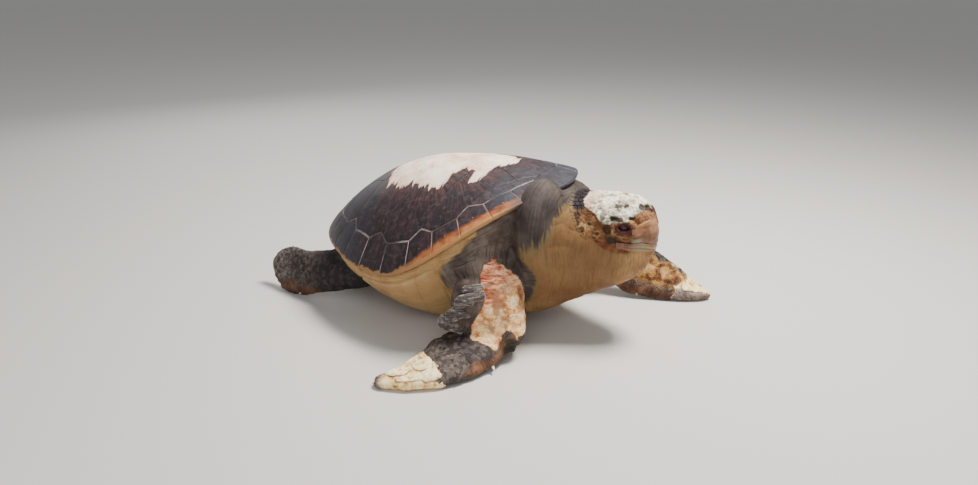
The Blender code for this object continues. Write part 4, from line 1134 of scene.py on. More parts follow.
def buildSkin():
    # Trunk, neck and head are joined and their creases filled first, coarsely, and the limbs after that
    bodies = [trunkRings(), uprightRings(neckStations, 60, 96), uprightRings(headStations, 60, 96)]
    bodies += [swellingRings(*swelling) for swelling in swellings[:3]]
    core = modified(joinedBodies("core", bodies), "REMESH", mode="VOXEL", voxel_size=skin["coreVoxel"])
    core = filled(core, skin["coreFill"])
    report(f"core of {len(core.vertices)} points")
    bodies = [uprightRings(headStations, 60, 96), uprightRings(tailStations, 24, 32)]
    bodies += [limbRings(name, 70, 56) for name in limbs]
    bodies += [swellingRings(*swelling) for swelling in swellings[3:]]
    mesh = modified(joinedBodies("flesh", bodies, core), "REMESH", mode="VOXEL", voxel_size=skin["voxel"])
    report(f"flesh of {len(mesh.vertices)} points")
    mesh = filled(mesh, skin["fill"])
    report("folds filled")
    middles = numbersOf(mesh.polygons, "center", 3)
    fine = (lidsOut(middles) < 2.6) & (middles[:, 0] > 0.5)
    x, _, z = middles.T
    fine |= (np.abs(z - mouthHeight(x)) < 0.006) & (x > mouth["corner"] - 0.01)
    mesh = finer(mesh, fine)
    m = markings(pointsOf(mesh))
    points = underShell(foldedPoints(mesh, m))
    mesh = moved(mesh, points)
    report("skin folded")
    local = unsettled(points)
    hidden = (reachOf(local[:, :2]) < 0.93) & (points[:, 2] > settled(np.column_stack(
        [local[:, :2], shellHeight(local[:, 0], local[:, 1])]))[:, 2] - 0.02)
    under = (points[:, 2] < 0.03) & (np.abs(points[:, 0]) < 0.3) & (np.abs(points[:, 1]) < 0.2)
    care = np.clip(0.45 + 0.55 * smooth((points[:, 0] - 0.25) / 0.2), 0, 1)
    care[hidden | under] = 0.0
    share = skin["triangles"] / (2 * len(mesh.polygons))
    mesh = modified(mesh, "DECIMATE", ratio=share, use_collapse_triangulate=True, weights=1 - care,
                    vertex_group_factor=1.0)
    report(f"skin of {len(mesh.polygons)} triangles")
    mesh.name = "skin"
    m = markings(pointsOf(mesh))
    for name in markNames:
        setValue(mesh, name, m[name])
    nodes = ["trunk", "neck", "head", "tail"]
    for part in ("upper_arm", "fore_flipper", "hind_flipper"):
        nodes += [part + "_left", part + "_right"]
    mesh.polygons.foreach_set("use_smooth", np.ones(len(mesh.polygons), bool))
    return place(mesh, skinFinish("skin"), nodes)


markNames = ["pale", "peel", "raw", "tip", "grey", "tan", "brown", "crust", "back", "cheek", "spot", "sore",
             "snout", "gum", "scaly", "dark", "relief", "hind", "fold"]


def skinFinish(name, scales=False):
    # Wrinkled skin: dark grey above, yellow-brown below, with the lost, bleached and bony places of the
    # head and flippers. On scales each plate has its own tone, and painted shade darkens its edge
    f = Finish(name, 0.55, Specular_IOR_Level=0.22)
    tone = f.value("tone") if scales else f.cells(95, output="Color")
    clouds = f.noise(14, 5, roughness=0.6)
    fine = f.noise(90, 5, roughness=0.68)
    fold = f.value("fold", vector=True)
    lines = f.noise(1.0, 4, f.stretched((230, 13, 1), vector=fold), 0.62, 0.5)
    crossing = f.noise(1.0, 2, f.stretched((70, 110, 1), vector=fold), 0.5, 0.6)
    relief = f.value("relief")
    # low marks the hollows of the relief, which are darkened below as painted shade
    low = f.step(relief, -0.12, -0.6)
    grey = f.blend(clouds, (0.3, (0.03, 0.02, 0.018)), (0.48, (0.094, 0.067, 0.056)),
                   (0.6, (0.148, 0.118, 0.09)), (0.75, (0.195, 0.152, 0.132)))
    # painted shade darkens the creases of the wrinkles, and a painted highlight lightens their ridges
    creaseShade = f.step(lines, 0.5, 0.36)
    grey = f.tint(grey, (0.013, 0.01, 0.009), creaseShade, 0.7)
    high = f.step(lines, 0.55, 0.7)
    grey = f.tint(grey, (0.2, 0.165, 0.135), high, 0.26)
    x, z = f.axis("X"), f.axis("Z")
    neckward = f.times(f.step(x, 0.28, 0.38), f.step(x, 0.64, 0.56))
    grey = f.tint(grey, (0.027, 0.023, 0.023), neckward, 0.62)
    yellow = f.blend(f.noise(8, 6, roughness=0.62), (0.3, (0.17, 0.08, 0.03)), (0.44, (0.32, 0.172, 0.066)),
                     (0.56, (0.43, 0.265, 0.11)), (0.66, (0.4, 0.27, 0.09)), (0.8, (0.36, 0.16, 0.058)))
    # painted shade in the creases and a painted highlight on the ridges of the yellow skin
    yellow = f.tint(yellow, (0.13, 0.06, 0.026), creaseShade, 0.42)
    yellow = f.tint(yellow, (0.56, 0.42, 0.25), high, 0.3)
    yellow = f.tint(yellow, (0.11, 0.06, 0.032), f.step(fine, 0.6, 0.75), 0.3)
    # painted shade: the yellow skin of the throat and neck is darkened as if under the head
    yellow = f.tint(yellow, (0.095, 0.04, 0.014), neckward, 0.68)
    paleEdge = f.swayed(f.value("pale"), lines, 0.8)
    change = f.step(paleEdge, 0.15, 0.85)
    colour = f.mix(change, grey, yellow)
    between = f.less(1.0, f.size(f.less(f.times(change, 2.0), 1.0)))
    colour = f.tint(colour, (0.18, 0.14, 0.05), between, 0.6)
    # scaly limbs
    plates = f.blend(tone, (0.05, (0.016, 0.012, 0.013)), (0.45, (0.05, 0.038, 0.034)),
                     (0.95, (0.125, 0.098, 0.08)))
    plates = f.tint(plates, (0.3, 0.245, 0.2), f.step(fine, 0.54, 0.68), 0.45)
    plates = f.tint(plates, (0.018, 0.012, 0.015), f.step(clouds, 0.5, 0.34), 0.6)
    upper = f.less(1.0, f.times(f.value("pale"), 0.7))
    colour = f.tint(colour, plates, f.value("scaly"), upper)
    dusk = f.mix(f.step(f.noise(60, 4), 0.45, 0.65), (0.01, 0.007, 0.009), (0.04, 0.03, 0.032))
    dusk = f.tint(dusk, plates, f.value("scaly"), 0.8)
    dusk = f.tint(dusk, (0.2, 0.165, 0.15), f.step(x, -0.46, -0.54), f.step(fine, 0.42, 0.6))
    colour = f.tint(colour, dusk, f.value("hind"), 0.9)
    brown = f.blend(f.noise(26, 5, roughness=0.65), (0.32, (0.045, 0.018, 0.012)), (0.5, (0.135, 0.06, 0.03)),
                    (0.68, (0.27, 0.135, 0.068)))
    # painted shade in the creases of the brown skin
    brown = f.tint(brown, (0.025, 0.011, 0.008), creaseShade, 0.6)
    brown = f.tint(brown, (0.045, 0.019, 0.008), f.value("hind"), 0.5)
    colour = f.tint(colour, brown, f.value("brown"), 0.9)
    tan = f.blend(f.noise(26, 5, roughness=0.68), (0.38, (0.05, 0.022, 0.014)), (0.46, (0.19, 0.072, 0.024)),
                  (0.54, (0.38, 0.205, 0.06)), (0.64, (0.62, 0.4, 0.17)), (0.76, (0.23, 0.16, 0.042)))
    colour = f.mix(f.value("tan"), colour, tan)
    # lost skin: cream and peach with red-brown streaks, and a dark torn edge
    ragged = f.swayed(f.value("peel"), f.noise(150, 5, roughness=0.7), 0.01)
    peeled = f.step(ragged, 0.001, -0.001)
    wet = f.noise(1.0, 6, f.stretched((24, 24, 70), (0.5, 0.35, 0)), 0.68, 1.1)
    fibres = f.noise(1.0, 4, f.stretched((45, 45, 190), (0.6, 0.3, 0)), 0.65, 0.6)
    cream = f.blend(f.noise(36, 6, roughness=0.72), (0.35, (0.3, 0.1, 0.034)), (0.44, (0.7, 0.34, 0.12)),
                    (0.52, (0.94, 0.61, 0.29)), (0.66, (1.0, 0.82, 0.51)))
    pink = f.blend(wet, (0.36, (0.16, 0.024, 0.014)), (0.44, (0.46, 0.11, 0.055)), (0.52, (0.78, 0.34, 0.18)),
                   (0.62, (0.98, 0.65, 0.4)))
    flesh = f.tint(cream, pink, f.value("raw"), f.step(clouds, 0.3, 0.52))
    flesh = f.tint(flesh, (0.38, 0.13, 0.055), f.step(fibres, 0.48, 0.36), 0.6)
    # painted shade in the hollows of the dried flesh
    flesh = f.tint(flesh, (0.25, 0.085, 0.035), low, 0.7)
    torn = f.step(f.size(ragged), 0.004, 0.0)
    colour = f.mix(peeled, colour, flesh)
    colour = f.tint(colour, (0.06, 0.03, 0.022), torn, 0.65)
    # bone and dried skin at the tips
    bone = f.blend(f.noise(48, 6, roughness=0.7), (0.33, (0.17, 0.07, 0.026)), (0.41, (0.6, 0.3, 0.09)),
                   (0.48, (0.97, 0.69, 0.29)), (0.6, (1.0, 0.87, 0.52)))
    ash = f.blend(f.noise(48, 6, roughness=0.7), (0.34, (0.055, 0.037, 0.033)), (0.48, (0.155, 0.12, 0.11)),
                  (0.64, (0.35, 0.245, 0.18)))
    tipEdge = f.step(f.swayed(f.value("tip"), f.noise(70, 4), 1.2), 0.4, 0.6)
    tips = f.mix(f.value("grey"), bone, ash)
    # painted shade in the hollows of the tips
    tips = f.tint(tips, (0.07, 0.034, 0.02), low, 0.8)
    colour = f.mix(tipEdge, colour, tips)
    # head
    cheek = f.blend(f.noise(24, 5, roughness=0.62), (0.34, (0.09, 0.031, 0.011)),
                    (0.48, (0.19, 0.083, 0.029)), (0.6, (0.31, 0.168, 0.068)), (0.74, (0.43, 0.285, 0.14)))
    if scales:
        above = f.step(f.plus(f.value("level"), f.times(fine, 0.5)), 0.85, 1.15)
        blotch = f.times(f.step(tone, 0.45, 0.55), above)
    else:
        blotch = f.step(f.plus(f.cells(44, "SMOOTH_F1"), f.times(f.noise(75, 3), 0.5)), 0.5, 0.38)
    cheek = f.tint(cheek, (0.075, 0.028, 0.011), blotch, 0.7)
    speck = f.swayed(f.value("spot"), f.noise(110, 4), 0.7)
    cheek = f.tint(cheek, (0.04, 0.018, 0.009), f.step(speck, 0.25, 0.75), 0.9)
    colour = f.mix(f.value("cheek"), colour, cheek)
    plum = f.blend(f.noise(30, 4), (0.4, (0.007, 0.005, 0.008)), (0.56, (0.02, 0.011, 0.015)),
                   (0.72, (0.05, 0.025, 0.027)))
    if scales:
        plum = f.tint(plum, (0.21, 0.16, 0.175), f.step(f.value("level"), 0.3, 0.05), 0.35)
    colour = f.mix(f.value("back"), colour, plum)
    snout = f.blend(f.noise(30, 6, roughness=0.68), (0.36, (0.09, 0.029, 0.013)),
                    (0.47, (0.215, 0.084, 0.034)), (0.59, (0.36, 0.18, 0.085)), (0.72, (0.19, 0.105, 0.075)))
    colour = f.mix(f.value("snout"), colour, snout)
    gum = f.blend(f.noise(44, 6, roughness=0.68), (0.34, (0.048, 0.012, 0.006)), (0.5, (0.145, 0.041, 0.015)),
                  (0.68, (0.24, 0.105, 0.046)))
    colour = f.mix(f.value("gum"), colour, gum)
    sore = f.blend(f.noise(85, 4), (0.36, (0.02, 0.006, 0.008)), (0.56, (0.1, 0.026, 0.026)),
                   (0.68, (0.23, 0.105, 0.105)))
    colour = f.mix(f.value("sore"), colour, sore)
    bleach = f.blend(f.noise(40, 7, roughness=0.74), (0.36, (0.11, 0.09, 0.055)), (0.43, (0.42, 0.345, 0.22)),
                     (0.5, (0.84, 0.75, 0.56)), (0.58, (1.0, 0.95, 0.8)), (0.76, (0.78, 0.54, 0.43)))
    # painted shade in the crust's hollows, stronger towards its lower edge
    crustHollowShade = f.step(f.swayed(relief, fine, 1.2), 0.0, -0.42)
    lower = f.step(z, 0.4, 0.376)
    bleach = f.tint(bleach, (0.085, 0.072, 0.046), crustHollowShade, f.plus(0.45, f.times(lower, 0.5)))
    bleach = f.tint(bleach, (0.66, 0.36, 0.31), f.step(x, 0.52, 0.468), 0.6)
    # painted shadow: the lower part of the crust is greyed in patches
    lowered = f.times(f.step(z, 0.398, 0.376), f.step(f.plus(clouds, fine), 0.9, 1.08))
    bleach = f.tint(bleach, (0.19, 0.16, 0.125), lowered, 0.75)
    crustEdge = f.step(f.swayed(f.value("crust"), f.noise(95, 5), 1.3), 0.38, 0.6)
    colour = f.mix(crustEdge, colour, bleach)
    # painted shade in the pits, painted shadow along the crust's lower edge, and the dark mouth corner
    pitted = f.swayed(f.value("dark"), f.noise(130, 4), 0.7)
    colour = f.tint(colour, (0.026, 0.02, 0.013), f.step(pitted, 0.14, 0.6), 0.95)
    # painted shade between the plates: each scale darkens towards its sunken edge
    if scales:
        colour = f.tint(colour, (0.02, 0.016, 0.015), f.step(f.value("level"), 0.45, 0.0),
                        f.times(f.value("scaly"), 0.8))
    dull = f.plus(0.52, f.times(fine, 0.34))
    dull = f.less(dull, f.times(f.value("sore"), 0.25))
    dull = f.less(dull, f.times(peeled, 0.12))
    height = f.plus(f.times(lines, 1.2), f.times(crossing, 0.6))
    height = f.times(height, f.less(1.0, f.sums("MAXIMUM", crustEdge, peeled)))
    height = f.plus(height, f.times(fine, 0.8))
    rubble = f.times(f.noise(130, 5, roughness=0.7), f.sums("MAXIMUM", crustEdge, tipEdge))
    height = f.plus(height, f.times(rubble, 2.4))
    height = f.plus(height, f.times(f.times(f.plus(wet, fibres), peeled), 1.3))
    return f.done(colour, dull, height, 0.75, 0.0014)


# Slabs of dried skin along the rear edge of the right arm, and blocks of bone at the tips of the flippers

slabs = dict(
    across=(0.884, 0.467, 0.0), up=(-0.201, 0.38, 0.903), thick=0.0105, bend=3.0,
    places=[  # middle, length, width and tilt in degrees
        ((0.26, -0.34, 0.2185), 0.062, 0.019, 5), ((0.259, -0.356, 0.192), 0.09, 0.03, 17),
        ((0.233, -0.364, 0.15), 0.086, 0.037, 16), ((0.206, -0.36, 0.1095), 0.08, 0.043, -14)])


def buildSlabs():
    # A slab's section is a flattened ring of half-width wide * (1 - u**6)**0.5, torn by noise, carried
    # along u from -1 to 1, and its spine bends inwards by bend * (u * length / 2)**2
    f = Finish("driedSkin", 0.6)
    streaks = f.noise(1.0, 5, f.stretched((40, 40, 220), (0.9, 0.3, 0.5)), 0.68, 0.5)
    grit = f.noise(110, 5, roughness=0.7)
    colour = f.blend(streaks, (0.38, (0.022, 0.016, 0.018)), (0.5, (0.075, 0.058, 0.054)),
                     (0.6, (0.23, 0.19, 0.155)), (0.72, (0.56, 0.48, 0.39)))
    colour = f.tint(colour, (0.022, 0.016, 0.017), f.step(grit, 0.52, 0.38), 0.7)
    # pale crusted rims at the slabs' edges, which also serve as a painted highlight
    rim = f.times(f.step(f.value("side"), 0.8, 1.0), f.step(grit, 0.4, 0.55))
    colour = f.tint(colour, (0.6, 0.52, 0.42), rim, 0.8)
    dull = f.plus(0.45, f.times(grit, 0.3))
    finish = f.done(colour, dull, f.plus(streaks, grit), 0.8, 0.0016)
    across, rise = np.array(slabs["across"]), np.array(slabs["up"])
    out = np.cross(across, rise)
    u = np.linspace(-0.985, 0.985, 46)[:, None]
    turn = fullTurn(40)[None]
    for k, (middle, long, wide, tilt) in enumerate(slabs["places"]):
        cos, sin = math.cos(math.radians(tilt)), math.sin(math.radians(tilt))
        along, down = across * cos + rise * sin, across * sin - rise * cos
        spots = stacked(u * 3 + 5 * k, np.cos(turn) * 0.6, 0 * u).reshape(-1, 3)
        torn = rough(spots, 0.8, 61 + k, 3).reshape(u.shape[0], -1)
        half = wide / 2 * (1 - u**6) ** 0.5 * (1 + 0.22 * torn)
        thick = slabs["thick"] / 2 * (1 - u**8) ** 0.5
        sideways = bent(np.cos(turn), 0.6) * half
        raised = bent(np.sin(turn), 0.8) * thick + 0.0012 * torn + 0.002 - slabs["bend"] * (u * long / 2) ** 2
        rings = np.array(middle) + (u * long / 2 * (1 + 0.05 * torn))[..., None] * along
        rings = rings + sideways[..., None] * down + raised[..., None] * out
        mesh = bodyOfRings(f"driedSlab{k + 1}", rings)
        side = np.maximum(np.abs(np.cos(turn)), np.abs(u) ** 3)
        setValue(mesh, "side", np.concatenate([side.ravel(), [1, 1]]))
        place(mesh, finish)
    report("slabs of dried skin")


# Limb; metres along it and place across its top, 1 at the rear edge and -1 at the front; half sizes; height
blocks = [
    ("bladeRight", (0.338, 0.16), (0.034, 0.5), 0.0068),
    ("bladeRight", (0.268, 0.12), (0.03, 0.4), 0.0056),
    ("bladeRight", (0.288, 0.78), (0.034, 0.15), 0.003),
    ("bladeRight", (0.314, -0.62), (0.036, 0.22), 0.0036),
    ("bladeRight", (0.262, -0.58), (0.022, 0.34), 0.0062),
    ("bladeLeft", (0.345, 0.2), (0.028, 0.24), 0.003),
    ("bladeLeft", (0.372, 0.1), (0.016, 0.4), 0.0028)]


def limbNormal(name, share, angle):
    # Out of the ellipse: chord * cos / half-chord + thickness * sin / half-thickness
    chord, thick, wide, deep = limbFrames(limbs[name], 200)[1:]
    at = np.clip(share, 0, 1) * 199
    normal = readAt(chord, at) * (np.cos(angle) / np.interp(at, np.arange(200), wide))[..., None]
    normal = normal + readAt(thick, at) * (np.sin(angle) / np.interp(at, np.arange(200), deep))[..., None]
    return unit(normal)


def shareAt(name, run):  # the share along a limb's stations at each distance along its middle line
    path = limbFrames(limbs[name], 200)[0]
    return np.interp(run, distanceAlong(path), np.linspace(0, 1, 200))


def buildBlocks():
    # Rings of a rounded rectangle, |cos|**0.7 by |sin|**0.7, with a wandering edge, laid on the limb and
    # raised by height * (1 - r**6), more at one side than at the other
    f = Finish("bareBone", 0.6)
    speckle = f.noise(55, 6, roughness=0.72)
    lines = f.noise(1.0, 4, f.stretched((60, 160, 60)), 0.65, 0.5)
    colour = f.blend(speckle, (0.33, (0.42, 0.2, 0.065)), (0.41, (0.8, 0.5, 0.19)),
                     (0.49, (0.99, 0.81, 0.43)), (0.62, (1.0, 0.94, 0.7)))
    colour = f.tint(colour, (0.33, 0.15, 0.06), f.step(lines, 0.42, 0.32), 0.5)
    colour = f.tint(colour, (0.08, 0.038, 0.022), f.step(f.value("side"), 0.88, 1.0), 0.85)
    finish = f.done(colour, f.plus(0.45, f.times(speckle, 0.3)), f.plus(speckle, lines), 0.6, 0.0012)
    turn = fullTurn(64)[None]
    r = np.array([0.12, 0.35, 0.58, 0.76, 0.88, 0.95, 0.985, 1.0, 1.0, 0.8, 0.4])[:, None]
    for k, (limb, (along, across), (halfLong, halfAcross), height) in enumerate(blocks):
        circle = np.column_stack([np.cos(turn[0]) * 2 + 9 * k, np.sin(turn[0]) * 2, 0 * turn[0]])
        wobble = 1 + 0.24 * grain(circle, 1.0, 70)
        share = shareAt(limb, along + halfLong * bent(np.cos(turn), 0.7) * r * wobble)
        sideways = halfAcross * bent(np.sin(turn), 0.7) * r * wobble
        angle = np.arccos(np.clip(across + sideways, -0.995, 0.995))
        at = limbPoint(limb, share, angle)
        lumps = rough(at.reshape(-1, 3), 0.014, 71 + k, 3).reshape(angle.shape)
        top = height * (1 - r**6) * (0.75 + 0.35 * np.cos(turn + 2.1 * k)) + 0.0022 * lumps - 0.0005
        top[8:] = -0.004
        rings = at + limbNormal(limb, share, angle) * top[..., None]
        rings[..., 2] = np.maximum(rings[..., 2], 0.0006)
        mesh = bodyOfRings(f"boneBlock{k + 1}", rings)
        setValue(mesh, "side", np.concatenate([np.broadcast_to(r, angle.shape).ravel(), [0, 0]]))
        place(mesh, finish)
    report("blocks of bone")


# Beak, lower jaw, eyes and claws

horny = dict(axis=0.56, proud=0.0013, inner=0.0035, beakTurn=math.radians(50), jawTurn=math.radians(79),
             hook=0.012, beakHigh=0.072, jawDeep=0.025, gap=0.0007)


def snoutReach(turn, height):
    # How far the head's surface is from the beak's upright axis, found by halving: the head's section
    # joined to a rounded front by (out**2 + ((x - 0.60) / 0.0705)**8)**0.5
    low, high = np.zeros(np.shape(turn)), np.full(np.shape(turn), 0.16)
    for _ in range(24):
        middle = (low + high) / 2
        x, y = horny["axis"] + middle * np.cos(turn), middle * np.sin(turn)
        spots = np.stack([np.minimum(x, 0.6675), y, height], axis=-1).reshape(-1, 3)
        out = headOut(spots).reshape(np.shape(turn))
        inside = out**2 + (np.clip(x - 0.6, 0, 1) / 0.0705) ** 8 < 1
        low, high = np.where(inside, middle, low), np.where(inside, high, middle)
    return low


def hornBand(name, turns, low, high, proud, columns=30):
    # Round the snout from one corner of the mouth to the other; each section goes up the outside and down
    # the inside
    share = np.linspace(0, 1, columns)
    turn = np.broadcast_to(turns[:, None], (len(turns), columns))
    height = low[:, None] + (high - low)[:, None] * share
    reach = snoutReach(turn, height)
    taper = smooth((1 - np.abs(turns) / np.abs(turns).max()) / 0.12)[:, None]
    lip = np.sin(np.clip(share / 0.1, 0, 1) * math.pi / 2)
    lip = lip * np.sin(np.clip((1 - share) / 0.22, 0, 1) * math.pi / 2)
    spots = np.stack([reach * np.cos(turn), reach * np.sin(turn), height], axis=-1).reshape(-1, 3)
    relief = (0.0006 * rough(spots * (1, 1, 0.5), 0.012, 41, 3)).reshape(turn.shape)
    relief += 0.0007 * np.sin(share * 16 + 3 * turn + 2 * grain(spots, 0.02, 42).reshape(turn.shape)) * lip
    outer = reach + (proud * lip + relief * lip) * taper - 0.001 * (1 - taper)
    inner = np.maximum(reach - horny["inner"], 0.004)
    radius = np.concatenate([outer, inner[:, ::-1]], axis=1)
    turn = np.concatenate([turn, turn[:, ::-1]], axis=1)
    height = np.concatenate([height, height[:, ::-1]], axis=1)
    rings = np.stack([horny["axis"] + radius * np.cos(turn), radius * np.sin(turn), height], axis=-1)
    mesh = bodyOfRings(name, rings)
    band = np.tile(np.concatenate([share, share[::-1]]), len(turns))
    setValue(mesh, "band", np.concatenate([band, [0.5, 0.5]]))
    setValue(mesh, "turn", np.concatenate([turn.ravel(), [0, 0]]))
    return mesh


def beakFinish(name, jaw=False):  # layered horn in red-brown, with dark and light flakes; the jaw is yellower
    f = Finish(name, 0.42, Coat_Weight=0.15, Coat_Roughness=0.35)
    band, turn = f.value("band"), f.value("turn")
    flakes = f.noise(1.0, 5, f.stretched((60, 60, 26)), 0.65, 0.5)
    clouds = f.noise(22, 5, roughness=0.65)
    if jaw:
        base = f.blend(flakes, (0.3, (0.045, 0.014, 0.007)), (0.46, (0.13, 0.044, 0.017)),
                       (0.6, (0.215, 0.095, 0.04)), (0.78, (0.12, 0.06, 0.032)))
        front = f.blend(clouds, (0.4, (0.23, 0.165, 0.08)), (0.6, (0.4, 0.3, 0.185)))
        base = f.mix(f.step(f.size(turn), 1.0, 0.55), base, front)
    else:
        base = f.blend(clouds, (0.32, (0.085, 0.029, 0.012)), (0.44, (0.215, 0.078, 0.031)),
                       (0.56, (0.36, 0.16, 0.07)), (0.72, (0.45, 0.265, 0.145)))
        low = f.blend(flakes, (0.35, (0.07, 0.024, 0.006)), (0.6, (0.2, 0.075, 0.02)))
        base = f.mix(f.step(f.plus(band, f.times(clouds, 0.3)), 0.72, 0.5), base, low)
        edge = f.blend(flakes, (0.35, (0.075, 0.072, 0.045)), (0.65, (0.27, 0.25, 0.165)))
        aside = f.step(f.size(turn), 0.44, 0.74)
        base = f.tint(base, edge, f.step(band, 0.3, 0.18), aside)
    base = f.tint(base, (0.1, 0.045, 0.03), f.step(f.noise(120, 4, roughness=0.7), 0.6, 0.72), 0.5)
    dull = f.plus(0.3, f.times(clouds, 0.3))
    return f.done(base, dull, f.plus(flakes, f.times(f.noise(160, 3), 0.5)), 0.5, 0.001)


def buildBeak():
    # Both bands follow the mouth line; the beak has a hook in front, a bell of the angle round the snout,
    # and the jaw a notch to match
    turns = np.linspace(-horny["beakTurn"], horny["beakTurn"], 90)
    x = horny["axis"] + snoutReach(turns, np.full(90, mouth["height"])) * np.cos(turns)
    hook = horny["hook"] * bell(turns, 0, 0.26) - 0.0045 * bell(np.abs(turns), 0.55, 0.2)
    low = mouthHeight(x) + horny["gap"] - hook
    rise = 0.62 + 0.38 * np.cos(turns / horny["beakTurn"] * math.pi / 2)
    high = mouthHeight(x) + horny["beakHigh"] * rise
    band = hornBand("upperBeak", turns, low, high, horny["proud"] * 1.5)
    place(band, beakFinish("beakHorn"), ["upper_beak"], "beak")
    turns = np.linspace(-horny["jawTurn"], horny["jawTurn"], 120)
    x = horny["axis"] + snoutReach(turns, np.full(120, mouth["height"] - 0.01)) * np.cos(turns)
    high = mouthHeight(x) - horny["gap"] - 0.0115 * bell(turns, 0, 0.27)
    high = high + 0.0035 * bell(np.abs(turns), 0.55, 0.2)
    low = mouthHeight(x) - horny["jawDeep"] * (0.75 + 0.25 * np.cos(turns)) + 0.0015 * np.sin(turns * 9)
    band = hornBand("lowerJaw", turns, low, high, horny["proud"])
    place(band, beakFinish("jawHorn", True), ["lower_jaw"], "beak")
    report("beak")


eyeball = dict(radius=0.0156, sink=0.002, iris=0.62, pupil=0.3)


def buildEyes():
    # A ball that bulges a little over the iris: radius * (1 + 0.05 * (1 - (t / 0.6)**2)) for t < 0.6
    f = Finish("eyeball", 0.4, Coat_Weight=0.05, Coat_Roughness=0.3)
    turn = f.value("turn")
    veins = f.noise(260, 5, roughness=0.7)
    white = f.blend(veins, (0.35, (0.05, 0.008, 0.008)), (0.6, (0.14, 0.03, 0.026)))
    iris = f.blend(f.noise(120, 4, roughness=0.6), (0.35, (0.026, 0.006, 0.006)),
                   (0.65, (0.085, 0.02, 0.017)))
    colour = f.mix(f.step(turn, eyeball["iris"], eyeball["iris"] - 0.06), white, iris)
    colour = f.mix(f.step(turn, eyeball["pupil"], eyeball["pupil"] - 0.05), colour, (0.034, 0.007, 0.007))
    finish = f.done(colour, f.plus(0.34, f.times(veins, 0.2)), veins, 0.08, 0.0004)
    t = np.linspace(0.03, math.pi - 0.03, 40)[:, None]
    a = fullTurn(48)[None]
    radius = eyeball["radius"] * (1 + 0.05 * np.clip(1 - (t / 0.6) ** 2, 0, 1))
    for side, word in ((1, "left"), (-1, "right")):
        fx, fy = eyeAt["forward"]
        out = np.array([-fy, side * fx, 0.0])
        along = np.array([fx, side * fy, 0.0])
        middle = np.array(eyeAt["spot"]) * (1, side, 1) - out * eyeball["sink"]
        rings = middle + (radius * np.cos(t))[..., None] * out
        rings = rings + (radius * np.sin(t) * np.cos(a))[..., None] * along
        rings = rings + (radius * np.sin(t) * np.sin(a))[..., None] * (0, 0, 1)
        mesh = bodyOfRings(word + "Eye", rings)
        setValue(mesh, "turn", np.concatenate([np.repeat(t[:, 0], 48), [0, math.pi]]))
        place(mesh, finish, ["eye_" + word], "eye")
    report("eyes")


claws = {"front_right": ((0.352, -0.392, 0.014), (0.75, -0.65, -0.1)),
         "front_left": ((0.56, 0.252, 0.012), (0.45, -0.8, -0.35)),
         "hind_right": ((-0.445, -0.222, 0.01), (-0.35, -0.85, -0.35)),
         "hind_left": ((-0.452, 0.345, 0.024), (-0.35, 0.9, -0.15))}
claw = dict(length=0.03, radius=0.0065, curve=0.004)


def buildClaws():
    # A cone along its direction whose radius falls as (1 - t**1.8)**0.7, bent down by curve * t**2
    f = Finish("clawHorn", 0.4, Coat_Weight=0.1)
    streaks = f.noise(1.0, 4, f.stretched((240, 240, 80)), 0.6)
    colour = f.blend(f.value("along"), (0.35, (0.2, 0.13, 0.09)), (0.6, (0.55, 0.44, 0.32)),
                     (0.9, (0.8, 0.72, 0.6)))
    colour = f.mix(f.step(streaks, 0.5, 0.7), colour, (0.3, 0.2, 0.13))
    finish = f.done(colour, f.plus(0.3, f.times(streaks, 0.2)), streaks, 0.4, 0.0006)
    t = np.linspace(0, 0.995, 26)[:, None]
    a = fullTurn(20)[None]
    for name, (tip, direction) in claws.items():
        forward = np.array(direction) / np.linalg.norm(direction)
        across = np.cross(forward, (0, 0, 1))
        across /= np.linalg.norm(across)
        up = np.cross(across, forward)
        middle = np.array(tip) - forward * claw["length"] * (1 - t) + up * claw["curve"] * (1 - t**2)
        radius = claw["radius"] * (1 - t**1.8) ** 0.7 * (1 + 0.04 * np.sin(t * 22))
        rings = middle[:, None] + (radius * np.cos(a))[..., None] * across
        rings = rings + (radius * 0.8 * np.sin(a))[..., None] * up
        mesh = bodyOfRings("claw" + name.title().replace("_", ""), rings)
        setValue(mesh, "along", np.concatenate([np.repeat(t[:, 0], 20), [0, 1]]))
        place(mesh, finish, ["claw_" + name], "claw")
    report("claws")


# Plastron: the belly's plates as one plate with seams

plastron = dict(columns=560, rows=52, groove=0.0009, across=(0.33, 0.235, 0.11, -0.05, -0.2, -0.29),
                bridge=(0.7, 0.045), bridgeSeams=(0.46, 0.545, 0.63))


